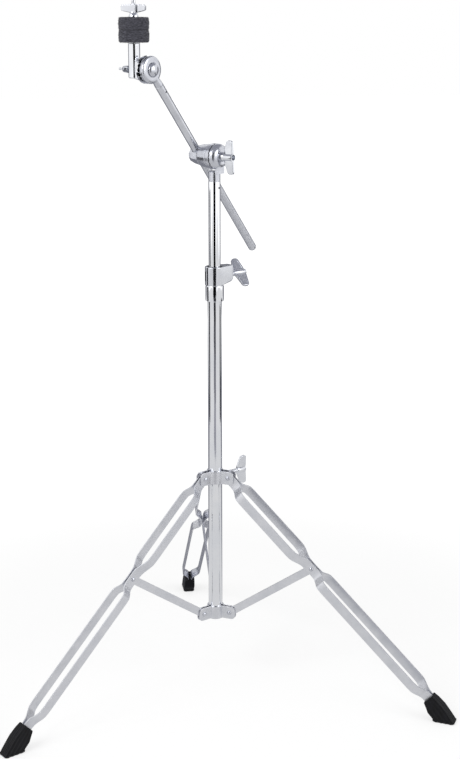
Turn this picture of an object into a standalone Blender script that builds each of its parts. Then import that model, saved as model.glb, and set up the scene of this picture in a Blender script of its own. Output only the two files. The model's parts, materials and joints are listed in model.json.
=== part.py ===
"""Cymbal boom stand: folding double-braced tripod, telescoping mast, ratchet boom and cymbal post.

Metres, +Z up. The back leg points along +Y. The origin is on the floor, at the middle of the stand's box.
"""
import math

import bmesh
import bpy
from mathutils import Matrix, Vector

MM = 0.001

# Fits and facet counts
FIT = 0.3 * MM
ROUND = 24
SMALL_ROUND = 10
TOOTH_COUNT = 18

# Tripod
LEG_LENGTH = 514.4 * MM
LEG_TO_STRUT = 193.5 * MM
STRUT_LENGTH = 168.6 * MM
COLLAR_RISE = 229.9 * MM
COLLAR_PIVOT_RADIUS = 23.5 * MM
BRACKET_PIVOT_RADIUS = 25.3 * MM
LEG_ANGLES = {"back": math.radians(90), "left": math.radians(210), "right": math.radians(330)}

# Leg strips and struts
STRIP_WIDTH = 16.0 * MM
STRIP_THICKNESS = 2.0 * MM
STRIP_OVERHANG = 8.0 * MM
LOOP_HALF_WIDTH = 15.0 * MM
LOOP_EASE = 25.0 * MM
PINCH_HALF_LENGTH = 15.0 * MM
COLLAR_PINCH = 21.0 * MM
STRIP_BEND = 8.0 * MM
STRUT_WIDTH = 12.5 * MM
STRUT_THICKNESS = 2.4 * MM

# Pressed plates of the collar and the bracket
PLATE_THICKNESS = 2.0 * MM
PLATE_HEIGHT = 21.0 * MM
EAR_OVERHANG = 9.5 * MM
EAR_ROUNDING = 6.0 * MM
PLATE_BEND = 3.0 * MM
WRAP_STEPS = 6

# Rivets
RIVET_RADIUS = 2.0 * MM
RIVET_HEAD_RADIUS = 3.3 * MM
RIVET_HEAD_HEIGHT = 1.8 * MM

# Rubber feet
FOOT_LENGTH = 52.0 * MM
FOOT_SOCKET = 34.0 * MM
FOOT_MOUTH_HALF = (8.5 * MM, 11.5 * MM)
FOOT_WAIST_HALF = (13.0 * MM, 15.0 * MM)
FOOT_SOLE_HALF = (15.0 * MM, 18.0 * MM)
SOLE_CHAMFER = 2.0 * MM
SOLE_EDGE_HEIGHT = 4.0 * MM
SOLE_SETBACK = 12.0 * MM

# Column and mast
LOWER_TUBE_DIAMETER = 22.2 * MM
LOWER_TUBE_LENGTH = 550.0 * MM
LOWER_TUBE_BELOW_BRACKET = 12.0 * MM
UPPER_TUBE_DIAMETER = 18.4 * MM
UPPER_TUBE_LENGTH = 430.0 * MM
TUBE_WALL = 1.2 * MM
MAST_EXTENSION = 159.2 * MM

# Height clamp
SLEEVE_DIAMETER = 28.6 * MM
SLEEVE_LENGTH = 24.4 * MM
CLAMP_DIAMETER = 30.1 * MM
CLAMP_HEIGHT = 28.7 * MM
CLAMP_BOSS_REACH = 34.0 * MM
CLAMP_BOSS_HALF_WIDTH = 9.0 * MM
CLAMP_BOSS_LIP = 3.0 * MM
CLAMP_BOSS_UNDERCUT = 7.0 * MM
CLAMP_AZIMUTH = math.radians(27)
BUSH_WALL = 2.6 * MM
BUSH_RECESS = 1.5 * MM

# Wing bolts, axis along their own +Z, wings across X
BOLT_RADIUS = 3.8 * MM
HEIGHT_BOLT_HUB_START = 39.0 * MM
HEIGHT_BOLT_ROLL = math.radians(-43)
COLLAR_BOLT_AZIMUTH = math.radians(30)
COLLAR_BOLT_HUB_START = 46.0 * MM
CLENCH_NUT_RADIUS = 6.5 * MM
CLENCH_NUT_LENGTH = 6.0 * MM

# Mast tilter; its axis is horizontal and points to the wing nut
TILTER_AZIMUTH = math.radians(-47.1)
TILTER_ABOVE_MAST = 36.8 * MM
TILTER_RADIUS = 19.3 * MM
TILTER_TOOTH_INNER = 11.5 * MM
TOOTH_DEPTH = 1.4 * MM
TILTER_JOINT_AT = 4.2 * MM
TILTER_BASE_DEPTH = 11.0 * MM
TILTER_BOSS_RADIUS = 7.0 * MM
TILTER_BOSS_HEIGHT = 2.0 * MM
TILTER_NECK_HALF_WIDTH = 7.5 * MM
FERRULE_HEIGHT = 15.5 * MM
SPIGOT_LENGTH = 20.0 * MM
TILTER_PIN_RADIUS = 1.6 * MM
TILTER_PIN_DROP = 10.0 * MM
EYE_BOLT_RADIUS = 4.0 * MM
EYE_BOLT_END = 29.0 * MM
BARREL_RADIUS = 10.5 * MM
BARREL_END = 43.5 * MM
BARREL_START = 21.0 * MM
CLAMP_CONE_RADIUS = 13.0 * MM
CLAMP_CONE_START = 8.0 * MM
BOOM_NUT_LENGTH = 18.5 * MM

# Boom arm
ARM_DIAMETER = 12.7 * MM
ARM_WALL = 1.6 * MM
ARM_OFFSET = 29.2 * MM
ARM_LEAN = math.radians(40)
ARM_TAIL = 212.0 * MM
ARM_TO_EYE = 169.0 * MM
EYE_NECK = 31.0 * MM
EYE_SPIGOT = 26.0 * MM
EYE_PIN_FROM_EYE = 42.0 * MM
EYE_PIN_RADIUS = 1.5 * MM

# Cymbal ratchet and post
RATCHET_RADIUS = 19.8 * MM
RATCHET_TOOTH_INNER = 12.0 * MM
EYE_HALF_THICKNESS = 5.6 * MM
PIVOT_BOLT_RADIUS = 4.0 * MM
PIVOT_HEAD_RADIUS = 10.0 * MM
PIVOT_HEAD_HEIGHT = 5.4 * MM
POST_OFFSET = 30.3 * MM
POST_RADIUS = 8.6 * MM
POST_RISE = 36.5 * MM
POST_CONE_RADIUS = 11.6 * MM
RATCHET_RIM = 4.5 * MM
ROD_RADIUS = 3.0 * MM
ROD_IN_POST = 16.0 * MM
ROD_ABOVE_NUT = 10.0 * MM
WASHER_THICKNESS = 1.2 * MM
FELT_RADIUS = 21.2 * MM
FELT_THICKNESS = 16.8 * MM
FELT_CROWN = 0.8 * MM
FELT_EDGE = 2.0 * MM
FELT_BORE = 5.6 * MM
SLEEVE_WALL = 1.9 * MM
TOP_NUT_HUB_RADIUS = 6.8 * MM
TOP_NUT_HUB_HEIGHT = 16.0 * MM
TOP_NUT_ROLL = math.radians(200)
PIVOT_NUT_ROLL = math.radians(86)

# Values worked out from the driving dimensions
HALF_GAP = STRUT_THICKNESS / 2 + FIT
PINCH = HALF_GAP + STRIP_THICKNESS / 2
COLLAR_EAR = HALF_GAP + STRIP_THICKNESS + FIT
BRACKET_EAR = HALF_GAP
LOWER_RADIUS = LOWER_TUBE_DIAMETER / 2
UPPER_RADIUS = UPPER_TUBE_DIAMETER / 2
ARM_RADIUS = ARM_DIAMETER / 2


def linkage_angles():
    """Lean of the leg and of the strut from the vertical, where their rivet holes meet."""
    across = BRACKET_PIVOT_RADIUS - COLLAR_PIVOT_RADIUS
    span = math.hypot(across, COLLAR_RISE)
    tilt = math.atan2(across, COLLAR_RISE)
    cosine = (LEG_TO_STRUT**2 + span**2 - STRUT_LENGTH**2) / (2 * LEG_TO_STRUT * span)
    leg_lean = math.acos(cosine) + tilt
    joint_radius = COLLAR_PIVOT_RADIUS + LEG_TO_STRUT * math.sin(leg_lean)
    strut_lean = math.asin((joint_radius - BRACKET_PIVOT_RADIUS) / STRUT_LENGTH)
    return leg_lean, strut_lean


LEG_LEAN, STRUT_LEAN = linkage_angles()
COLLAR_Z = LEG_LENGTH * math.cos(LEG_LEAN)
BRACKET_Z = COLLAR_Z - COLLAR_RISE
LOWER_TUBE_BOTTOM = BRACKET_Z - LOWER_TUBE_BELOW_BRACKET
LOWER_TUBE_TOP = LOWER_TUBE_BOTTOM + LOWER_TUBE_LENGTH
CLAMP_BOTTOM = LOWER_TUBE_TOP + FIT
MAST_TOP = LOWER_TUBE_TOP + MAST_EXTENSION
TILTER_Z = MAST_TOP + TILTER_ABOVE_MAST
FOOT_TOP = LEG_LENGTH - FOOT_LENGTH
RATCHET_FACE = EYE_HALF_THICKNESS + FIT
POST_FAR_SIDE = POST_OFFSET + POST_RADIUS


# Mesh tools


def turned(profile, segments=ROUND, toothed=(), depth=0.0):
    """Turn (radius, height) points about Z. The points close on themselves, or on the axis.

    Points whose index is in toothed step by depth at every other segment, which makes radial teeth.
    """
    mesh = bmesh.new()
    rings = []
    for index, (radius, height) in enumerate(profile):
        count = segments if radius > 0 else 1
        ring = []
        for step in range(count):
            angle = 2 * math.pi * step / segments
            lift = depth if index in toothed and step % 2 else 0.0
            ring.append(mesh.verts.new((radius * math.cos(angle), radius * math.sin(angle), height + lift)))
        rings.append(ring)
    pairs = list(zip(rings, rings[1:]))
    if profile[0][0] > 0:
        pairs.append((rings[-1], rings[0]))
    for near, far in pairs:
        for step in range(segments):
            after = step + 1
            corners = (
                near[step % len(near)], near[after % len(near)],
                far[after % len(far)], far[step % len(far)],
            )
            mesh.faces.new(tuple(dict.fromkeys(corners)))
    bmesh.ops.recalc_face_normals(mesh, faces=mesh.faces)
    return mesh


def tube(outer, inner, low, high, segments=ROUND):
    """Plain tube about Z."""
    return turned(((inner, low), (outer, low), (outer, high), (inner, high)), segments)


def rod(radius, low, high, segments=SMALL_ROUND):
    """Plain round bar about Z."""
    return turned(((0, low), (radius, low), (radius, high), (0, high)), segments)


def extruded(outline, thickness, edge=0.0):
    """Extrude an outline in XY by thickness, half each way, with a small chamfer where edge is given."""
    mesh = bmesh.new()
    face = mesh.faces.new([mesh.verts.new((x, y, -thickness / 2)) for x, y in outline])
    grown = bmesh.ops.extrude_face_region(mesh, geom=[face])
    top = [item for item in grown["geom"] if isinstance(item, bmesh.types.BMVert)]
    bmesh.ops.translate(mesh, verts=top, vec=(0, 0, thickness))
    if edge:
        rims = [e for e in mesh.edges if abs(e.verts[0].co.z - e.verts[1].co.z) < thickness / 2]
        bmesh.ops.bevel(mesh, geom=rims, offset=edge, segments=1, affect="EDGES")
    bmesh.ops.recalc_face_normals(mesh, faces=mesh.faces)
    return mesh


def eased(points, reach, steps=3, closed=False, least_turn=math.radians(14)):
    """Round the corners of a flat path, from reach before each corner to reach after it."""
    path = []
    count = len(points)
    for index in range(count):
        here = Vector(points[index])
        if not closed and index in (0, count - 1):
            path.append(here)
            continue
        before = Vector(points[index - 1]) - here
        after = Vector(points[(index + 1) % count]) - here
        if math.pi - before.angle(after) < least_turn:
            path.append(here)
            continue
        start = here + before.normalized() * min(reach, before.length * 0.49)
        end = here + after.normalized() * min(reach, after.length * 0.49)
        for step in range(steps + 1):
            t = step / steps
            path.append(start * (1 - t) ** 2 + here * 2 * t * (1 - t) + end * t**2)
    return path


def ribbon(path, thickness):
    """Outline of a flat strip that is bent along a path in XY."""
    left, right = [], []
    for index, point in enumerate(path):
        before = point - path[index - 1] if index else path[1] - point
        after = path[index + 1] - point if index + 1 < len(path) else before
        first = Vector((-before.y, before.x)).normalized()
        second = Vector((-after.y, after.x)).normalized()
        normal = (first + second).normalized()
        reach = thickness / 2 / normal.dot(first)
        left.append(point + normal * reach)
        right.append(point - normal * reach)
    return left + right[::-1]


def bent_strip(path, thickness, width, rounding):
    """Strip bent along a path in XY, width along Z, with the corners of its two ends rounded."""
    outline = ribbon(path, thickness)
    mesh = extruded(outline, width)
    ends = ((outline[0], outline[-1]), (outline[len(path) - 1], outline[len(path)]))
    corners = []
    for edge in mesh.edges:
        flat = [Vector((vert.co.x, vert.co.y)) for vert in edge.verts]
        for first, second in ends:
            close = min(
                (flat[0] - first).length + (flat[1] - second).length,
                (flat[1] - first).length + (flat[0] - second).length,
            )
            if close < 0.01 * MM:
                corners.append(edge)
    bmesh.ops.bevel(mesh, geom=corners, offset=rounding, segments=3, profile=0.5, affect="EDGES")
    return mesh


def stadium(length, width, steps=6):
    """Outline of a bar with round ends, whose end centres are at 0 and length on X."""
    outline = []
    for centre, start in ((length, -math.pi / 2), (0.0, math.pi / 2)):
        for step in range(steps + 1):
            angle = start + math.pi * step / steps
            outline.append((centre + width / 2 * math.cos(angle), width / 2 * math.sin(angle)))
    return outline


def box(low, high):
    """Closed box between two corners."""
    mesh = bmesh.new()
    bmesh.ops.create_cube(mesh, size=1.0)
    size = Vector(high) - Vector(low)
    middle = (Vector(high) + Vector(low)) / 2
    bmesh.ops.scale(mesh, vec=size, verts=mesh.verts)
    bmesh.ops.translate(mesh, vec=middle, verts=mesh.verts)
    return mesh


def lofted(rings):
    """Closed skin over rings that have the same number of points, with a cap at each end."""
    mesh = bmesh.new()
    loops = [[mesh.verts.new(point) for point in ring] for ring in rings]
    for near, far in zip(loops, loops[1:]):
        for index in range(len(near)):
            mesh.faces.new((near[index - 1], near[index], far[index], far[index - 1]))
    mesh.faces.new(loops[0])
    mesh.faces.new(loops[-1])
    bmesh.ops.recalc_face_normals(mesh, faces=mesh.faces)
    return mesh


# Scene tools


def clear_scene():
    """Removes the objects that the file starts with."""
    for item in list(bpy.data.objects):
        bpy.data.objects.remove(item, do_unlink=True)


def finish(name, colour, roughness, metallic):
    """Makes a plain material."""
    material = bpy.data.materials.new(name)
    material.use_nodes = True
    shader = material.node_tree.nodes["Principled BSDF"]
    shader.inputs["Base Color"].default_value = (*colour, 1.0)
    shader.inputs["Roughness"].default_value = roughness
    shader.inputs["Metallic"].default_value = metallic
    return material


def place(item, parent, location, rotation):
    """Parents an object and puts it in its place."""
    bpy.context.scene.collection.objects.link(item)
    item.parent = parent
    item.location = location
    item.rotation_euler = rotation
    return item


def axis(name, parent=None, location=(0, 0, 0), rotation=(0, 0, 0)):
    """Empty that carries the pieces of one joint."""
    return place(bpy.data.objects.new(name, None), parent, location, rotation)


def facing(x_axis, y_axis, z_axis):
    """Rotation whose columns are the three given directions."""
    return Matrix((x_axis, y_axis, z_axis)).transposed().to_euler()


def piece(name, mesh, material, parent, location=(0, 0, 0), rotation=(0, 0, 0)):
    """Makes one named node from a mesh."""
    data = bpy.data.meshes.new(name)
    mesh.to_mesh(data)
    mesh.free()
    data.materials.append(material)
    data.shade_smooth()
    data.set_sharp_from_angle(angle=math.radians(32))
    return place(bpy.data.objects.new(name, data), parent, location, rotation)


def tool(name, mesh, parent, location=(0, 0, 0), rotation=(0, 0, 0)):
    """Shape that only cuts or extends other pieces."""
    data = bpy.data.meshes.new(name)
    mesh.to_mesh(data)
    mesh.free()
    item = place(bpy.data.objects.new(name, data), parent, location, rotation)
    item.hide_render = True
    item.display_type = "WIRE"
    return item


def combine(target, other, operation="DIFFERENCE"):
    """Cuts one object with another, or joins them, by a Boolean modifier."""
    change = target.modifiers.new(other.name, "BOOLEAN")
    change.operation = operation
    change.solver = "EXACT"
    change.object = other


ALONG_X = (0, math.pi / 2, 0)
ALONG_Y = (-math.pi / 2, 0, 0)
UPRIGHT_OUTLINE = (math.pi / 2, 0, 0)


def wing_outline(span, low, high, tip_low, tip_high, rounding):
    """Flat outline of two wings in XZ, drawn as XY: root from low to high, tips from tip_low to tip_high."""
    half = span / 2
    root = span * 0.12
    corners = (
        (root, low), (half, tip_low), (half, tip_high), (root, high),
        (-root, high), (-half, tip_high), (-half, tip_low), (-root, low),
    )
    return eased(corners, rounding, closed=True)


def wing_piece(
    name, hub, wings, thickness, material, parent, location=(0, 0, 0), rotation=(0, 0, 0), bore=0.0
):
    """Turned hub with two flat wings across X; a nut has a bore along Z."""
    item = piece(name, hub, material, parent, location, rotation)
    plate = tool(name + "_wings", extruded(wings, thickness, 0.7 * MM), item, (0, 0, 0), UPRIGHT_OUTLINE)
    combine(item, plate, "UNION")
    if bore:
        combine(item, tool(name + "_thread", rod(bore, -0.1, 0.1), item))
    return item


# Tripod


def pressed_plate(name, start, ear_offset, ear_end, middle_z, material, parent):
    """Plate that wraps a third of the tube, from the ear beside one leg to the ear beside the next."""
    end = start + math.radians(120)
    offset = ear_offset + PLATE_THICKNESS / 2
    wrap = LOWER_RADIUS + FIT + PLATE_THICKNESS / 2
    lead = math.asin(offset / wrap)

    def ear_tip(angle, side):
        """End of an ear in the plan of a plate."""
        out = Vector((math.cos(angle), math.sin(angle)))
        return out * ear_end + Vector((-out.y, out.x)) * offset * side

    path = [ear_tip(start, 1)]
    for step in range(WRAP_STEPS + 1):
        angle = start + lead + (end - start - 2 * lead) * step / WRAP_STEPS
        path.append(Vector((math.cos(angle), math.sin(angle))) * wrap)
    path.append(ear_tip(end, -1))
    path = eased(path, PLATE_BEND, least_turn=math.radians(30))
    mesh = bent_strip(path, PLATE_THICKNESS, PLATE_HEIGHT, EAR_ROUNDING)
    return piece(name, mesh, material, parent, (0, 0, middle_z))


def plate_ring(prefix, ear_offset, pivot_radius, middle_z, material, parent):
    """Three plates round the column, riveted together at the leg or strut pivots."""
    sides = {"front": LEG_ANGLES["left"], "right": LEG_ANGLES["right"], "left": LEG_ANGLES["back"]}
    plates = {}
    for side, start in sides.items():
        plates[side] = pressed_plate(
            f"{prefix}_plate_{side}", start, ear_offset, pivot_radius + EAR_OVERHANG, middle_z,
            material, parent
        )
    for side, angle in LEG_ANGLES.items():
        spot = (pivot_radius * math.cos(angle), pivot_radius * math.sin(angle), middle_z)
        pivot = axis(f"{prefix}_pivot_{side}", parent, spot, (0, 0, angle))
        reach = ear_offset + PLATE_THICKNESS
        drill = rod(RIVET_RADIUS + FIT, -2 * reach, 2 * reach)
        hole = tool(f"{prefix}_hole_{side}", drill, pivot, (0, 0, 0), ALONG_Y)
        for plate in plates.values():
            if abs(math.cos(angle - plate_middle(plate, prefix, sides))) < 0.9:
                combine(plate, hole)
        seat = reach + FIT
        piece(f"{prefix}_rivet_{side}", rivet(-seat, seat), material, pivot, (0, 0, 0), ALONG_Y)
    return plates


def plate_middle(plate, prefix, sides):
    """Direction of a plate's middle."""
    return sides[plate.name.replace(f"{prefix}_plate_", "")] + math.radians(60)


def rivet_head(seat, direction):
    """Profile points of a low dome that starts at seat."""
    top = seat + direction * RIVET_HEAD_HEIGHT
    shoulder = seat + direction * RIVET_HEAD_HEIGHT * 0.55
    return ((RIVET_HEAD_RADIUS, seat), (RIVET_HEAD_RADIUS * 0.8, shoulder), (0, top))


def rivet(low, high):
    """Rivet about Z with a dome at both ends."""
    bottom = rivet_head(low, -1)
    top = rivet_head(high, 1)
    return turned((*bottom[::-1], (RIVET_RADIUS, low), (RIVET_RADIUS, high), *top), SMALL_ROUND)


def half_rivet(stub_end, seat):
    """Rivet head with the stub that fills the hole of one strip."""
    stub = ((0, stub_end), (RIVET_RADIUS, stub_end), (RIVET_RADIUS, seat))
    return turned((*stub, *rivet_head(seat, 1)), SMALL_ROUND)


def strip_path(side):
    """Middle line of one leg strip, seen across the leg: pinched at the collar, the strut and the foot."""
    low, wide = PINCH * side, LOOP_HALF_WIDTH * side
    joint = LEG_TO_STRUT
    foot_pinch = FOOT_TOP - STRIP_BEND - FIT
    points = (
        (-STRIP_OVERHANG, low), (COLLAR_PINCH, low), (COLLAR_PINCH + LOOP_EASE, wide),
        (joint - PINCH_HALF_LENGTH - LOOP_EASE, wide), (joint - PINCH_HALF_LENGTH, low),
        (joint + PINCH_HALF_LENGTH, low), (joint + PINCH_HALF_LENGTH + LOOP_EASE, wide),
        (foot_pinch - LOOP_EASE, wide), (foot_pinch, low), (FOOT_TOP + FOOT_SOCKET, low),
    )
    return eased(points, STRIP_BEND, steps=2)


def rounded_ring(centre, across, along, half_across, half_along, rounding):
    """Rounded rectangle in space, from its centre and two directions."""
    corners = (
        (half_across, half_along), (-half_across, half_along),
        (-half_across, -half_along), (half_across, -half_along),
    )
    flat = eased(corners, rounding, closed=True)
    return [Vector(centre) + Vector(across) * u + Vector(along) * v for u, v in flat]


def foot_mesh():
    """Rubber foot in the leg's frame: a sleeve at the top, flaring to a flat sole on the floor."""
    lean_sin, lean_cos = math.sin(LEG_LEAN), math.cos(LEG_LEAN)
    floor_along = Vector((lean_sin, 0, lean_cos))
    up = Vector((-lean_cos, 0, lean_sin))
    tangent = Vector((0, 1, 0))
    square = Vector((0, 0, 1))
    sole = Vector((LEG_LENGTH, 0, 0)) - floor_along * SOLE_SETBACK
    waist = (Vector((FOOT_TOP, 0, 0)) + sole) / 2
    waist_along = (floor_along + square).normalized()
    half_y, half_x = FOOT_SOLE_HALF
    rings = (
        rounded_ring((FOOT_TOP, 0, 0), tangent, square, *FOOT_MOUTH_HALF, 4 * MM),
        rounded_ring(waist, tangent, waist_along, *FOOT_WAIST_HALF, 6 * MM),
        rounded_ring(sole + up * SOLE_EDGE_HEIGHT, tangent, floor_along, half_y, half_x, 8 * MM),
        rounded_ring(sole, tangent, floor_along, half_y - SOLE_CHAMFER, half_x - SOLE_CHAMFER, 7 * MM),
    )
    return lofted(rings)


def build_leg(side, collar, steel, rubber):
    """Builds a leg: two strips, the half rivets of its strut, and a rubber foot."""
    angle = LEG_ANGLES[side]
    spot = (COLLAR_PIVOT_RADIUS * math.cos(angle), COLLAR_PIVOT_RADIUS * math.sin(angle), COLLAR_Z)
    leg = axis(f"leg_{side}", collar, spot, (0, math.pi / 2 - LEG_LEAN, angle))
    reach = 2 * (PINCH + STRIP_THICKNESS)
    hole = rod(RIVET_RADIUS + FIT, -reach, reach)
    pivot_hole = tool(f"leg_pivot_hole_{side}", hole.copy(), leg, (0, 0, 0), ALONG_Y)
    strut_hole = tool(f"leg_strut_hole_{side}", hole, leg, (LEG_TO_STRUT, 0, 0), ALONG_Y)
    for letter, sign in (("a", 1), ("b", -1)):
        mesh = bent_strip(strip_path(sign), STRIP_THICKNESS, STRIP_WIDTH, STRIP_WIDTH * 0.3)
        strip = piece(f"leg_strip_{side}_{letter}", mesh, steel, leg)
        combine(strip, pivot_hole)
        combine(strip, strut_hole)
        seat = PINCH + STRIP_THICKNESS / 2 + FIT
        turn = (-sign * math.pi / 2, 0, 0)
        half = half_rivet(HALF_GAP, seat)
        piece(f"strut_rivet_{side}_{letter}", half, steel, leg, (LEG_TO_STRUT, 0, 0), turn)
    foot = piece(f"foot_{side}", foot_mesh(), rubber, leg)
    half_y = PINCH + STRIP_THICKNESS / 2 + FIT
    half_z = STRIP_WIDTH / 2 + FIT
    socket_end = FOOT_TOP + FOOT_SOCKET + FIT
    socket = box((FOOT_TOP - FOOT_SOCKET, -half_y, -half_z), (socket_end, half_y, half_z))
    combine(foot, tool(f"foot_socket_{side}", socket, leg))
    return foot


def build_strut(side, root, steel):
    """Builds a flat strut between the bracket and a leg."""
    angle = LEG_ANGLES[side]
    spot = (BRACKET_PIVOT_RADIUS * math.cos(angle), BRACKET_PIVOT_RADIUS * math.sin(angle), BRACKET_Z)
    pivot = axis(f"strut_pivot_{side}", root, spot, (0, STRUT_LEAN - math.pi / 2, angle))
    mesh = extruded(stadium(STRUT_LENGTH, STRUT_WIDTH), STRUT_THICKNESS)
    strut = piece(f"strut_{side}", mesh, steel, pivot, (0, 0, 0), UPRIGHT_OUTLINE)
    for end, along in (("inner", 0.0), ("outer", STRUT_LENGTH)):
        hole = rod(RIVET_RADIUS + FIT, -2 * STRUT_THICKNESS, 2 * STRUT_THICKNESS)
        combine(strut, tool(f"strut_{end}_hole_{side}", hole, pivot, (along, 0, 0), ALONG_Y))


def build_collar_lock(plate, collar, steel):
    """Clench nut in the right rear plate, and the wing bolt that presses on the tube through it."""
    lock = axis("collar_lock", collar, (0, 0, COLLAR_Z), (0, math.pi / 2, COLLAR_BOLT_AZIMUTH))
    wrap = LOWER_RADIUS + FIT + PLATE_THICKNESS
    hole = tool("collar_bolt_hole", rod(BOLT_RADIUS + FIT, 0, 3 * wrap), lock)
    combine(plate, hole)
    seat = wrap + FIT
    nut = piece("collar_clench_nut", rod(CLENCH_NUT_RADIUS, seat, seat + CLENCH_NUT_LENGTH, 6), steel, lock)
    combine(nut, hole)
    start, tip = COLLAR_BOLT_HUB_START, LOWER_RADIUS + FIT
    hub = turned(
        ((0, tip), (BOLT_RADIUS, tip), (BOLT_RADIUS, start), (5 * MM, start + 2 * MM),
         (4.5 * MM, start + 14 * MM), (0, start + 15 * MM)), SMALL_ROUND
    )
    wings = wing_outline(46 * MM, start + 2 * MM, start + 14 * MM, start + 5 * MM, start + 15 * MM, 4 * MM)
    wing_piece("collar_wing_bolt", hub, wings, 4 * MM, steel, lock)


# Column, height clamp and mast


def build_column(root, chrome):
    """Builds the lower tube."""
    piece(
        "lower_tube",
        tube(LOWER_RADIUS, LOWER_RADIUS - TUBE_WALL, LOWER_TUBE_BOTTOM, LOWER_TUBE_TOP),
        chrome,
        root,
    )


def clamp_outline():
    """Plan of the clamp: a ring that runs into a boss along +X."""
    radius = CLAMP_DIAMETER / 2
    side = math.acos((radius - CLAMP_BOSS_HALF_WIDTH) / CLAMP_BOSS_REACH)
    steps = ROUND
    outline = []
    for step in range(steps + 1):
        angle = side + (2 * math.pi - 2 * side) * step / steps
        outline.append((radius * math.cos(angle), radius * math.sin(angle)))
    corner = 2 * MM
    return outline + [
        (CLAMP_BOSS_REACH - corner, -CLAMP_BOSS_HALF_WIDTH),
        (CLAMP_BOSS_REACH, -CLAMP_BOSS_HALF_WIDTH + corner),
        (CLAMP_BOSS_REACH, CLAMP_BOSS_HALF_WIDTH - corner),
        (CLAMP_BOSS_REACH - corner, CLAMP_BOSS_HALF_WIDTH),
    ]


def build_height_clamp(root, chrome, nylon):
    """Builds the height sleeve, the clamp with its boss, the bush and the wing bolt."""
    middle = CLAMP_BOTTOM + CLAMP_HEIGHT / 2
    sleeve = tube(SLEEVE_DIAMETER / 2, LOWER_RADIUS + FIT, LOWER_TUBE_TOP - SLEEVE_LENGTH, LOWER_TUBE_TOP)
    piece("height_sleeve", sleeve, chrome, root)
    lock = axis("height_lock", root, (0, 0, middle), (0, 0, CLAMP_AZIMUTH))
    clamp = piece("height_clamp", extruded(clamp_outline(), CLAMP_HEIGHT, 0.8 * MM), chrome, lock)
    half, ring = CLAMP_HEIGHT / 2, CLAMP_DIAMETER / 2
    wide = 2 * CLAMP_DIAMETER
    side_view = [
        (-wide, -half - FIT), (ring * 0.8, -half - FIT),
        (CLAMP_BOSS_REACH - CLAMP_BOSS_LIP, CLAMP_BOSS_UNDERCUT - half),
        (CLAMP_BOSS_REACH, CLAMP_BOSS_UNDERCUT + CLAMP_BOSS_LIP - half),
        (CLAMP_BOSS_REACH + FIT, half - CLAMP_BOSS_LIP),
        (CLAMP_BOSS_REACH - CLAMP_BOSS_LIP, half + FIT), (-wide, half + FIT),
    ]
    shaping = extruded(side_view, 2 * wide)
    combine(clamp, tool("clamp_side_view", shaping, lock, (0, 0, 0), UPRIGHT_OUTLINE), "INTERSECT")
    bush_inner = UPPER_RADIUS + FIT
    bush_outer = bush_inner + BUSH_WALL
    combine(clamp, tool("clamp_bore", rod(bush_outer + FIT, -CLAMP_HEIGHT, CLAMP_HEIGHT, ROUND), lock))
    bolt_hole = rod(BOLT_RADIUS + FIT, 0, 2 * CLAMP_BOSS_REACH)
    combine(clamp, tool("clamp_bolt_hole", bolt_hole, lock, (0, 0, 0), ALONG_X))
    bush = tube(bush_outer, bush_inner, FIT - half, half - BUSH_RECESS)
    piece("height_bush", bush, nylon, axis("swivel", root, (0, 0, middle)))
    bolt = axis("height_bolt", lock, (0, 0, 0), (0, math.pi / 2, 0))
    start, tip = HEIGHT_BOLT_HUB_START, bush_outer + FIT
    hub = turned(
        ((0, tip), (BOLT_RADIUS, tip), (BOLT_RADIUS, start), (4.8 * MM, start + 2 * MM),
         (5.5 * MM, start + 13 * MM), (4 * MM, start + 17 * MM), (0, start + 18 * MM)), SMALL_ROUND
    )
    wings = wing_outline(52 * MM, start + 2 * MM, start + 15 * MM, start + 4 * MM, start + 14 * MM, 4.5 * MM)
    wing_piece("height_wing_bolt", hub, wings, 4.4 * MM, chrome, bolt, (0, 0, 0), (0, 0, HEIGHT_BOLT_ROLL))


def build_mast(root, chrome):
    """Builds the upper tube."""
    mast = axis("mast", root, (0, 0, MAST_TOP))
    drawn = tube(UPPER_RADIUS, UPPER_RADIUS - TUBE_WALL, -UPPER_TUBE_LENGTH, 0)
    upper = piece("upper_tube", drawn, chrome, mast)
    return mast, upper


# Ratchet tilter on the mast


def tilter_base_mesh():
    """Fixed half of the ratchet about Z: toothed face at the bottom, rounded back, flat boss on top."""
    face = TILTER_JOINT_AT + FIT
    back = face + TILTER_BASE_DEPTH
    boss = back + TILTER_BOSS_HEIGHT
    bore = EYE_BOLT_RADIUS + FIT
    inner, outer = TILTER_TOOTH_INNER, TILTER_RADIUS
    profile = (
        (bore, face + 2 * TOOTH_DEPTH), (inner, face + 2 * TOOTH_DEPTH), (inner, face), (outer, face),
        (outer, face + 4 * MM), (outer * 0.93, face + 7 * MM), (outer * 0.76, back - 1.2 * MM),
        (outer * 0.55, back), (TILTER_BOSS_RADIUS, back), (TILTER_BOSS_RADIUS, boss), (bore, boss),
    )
    return turned(profile, 2 * TOOTH_COUNT, (2, 3), TOOTH_DEPTH)


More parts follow.
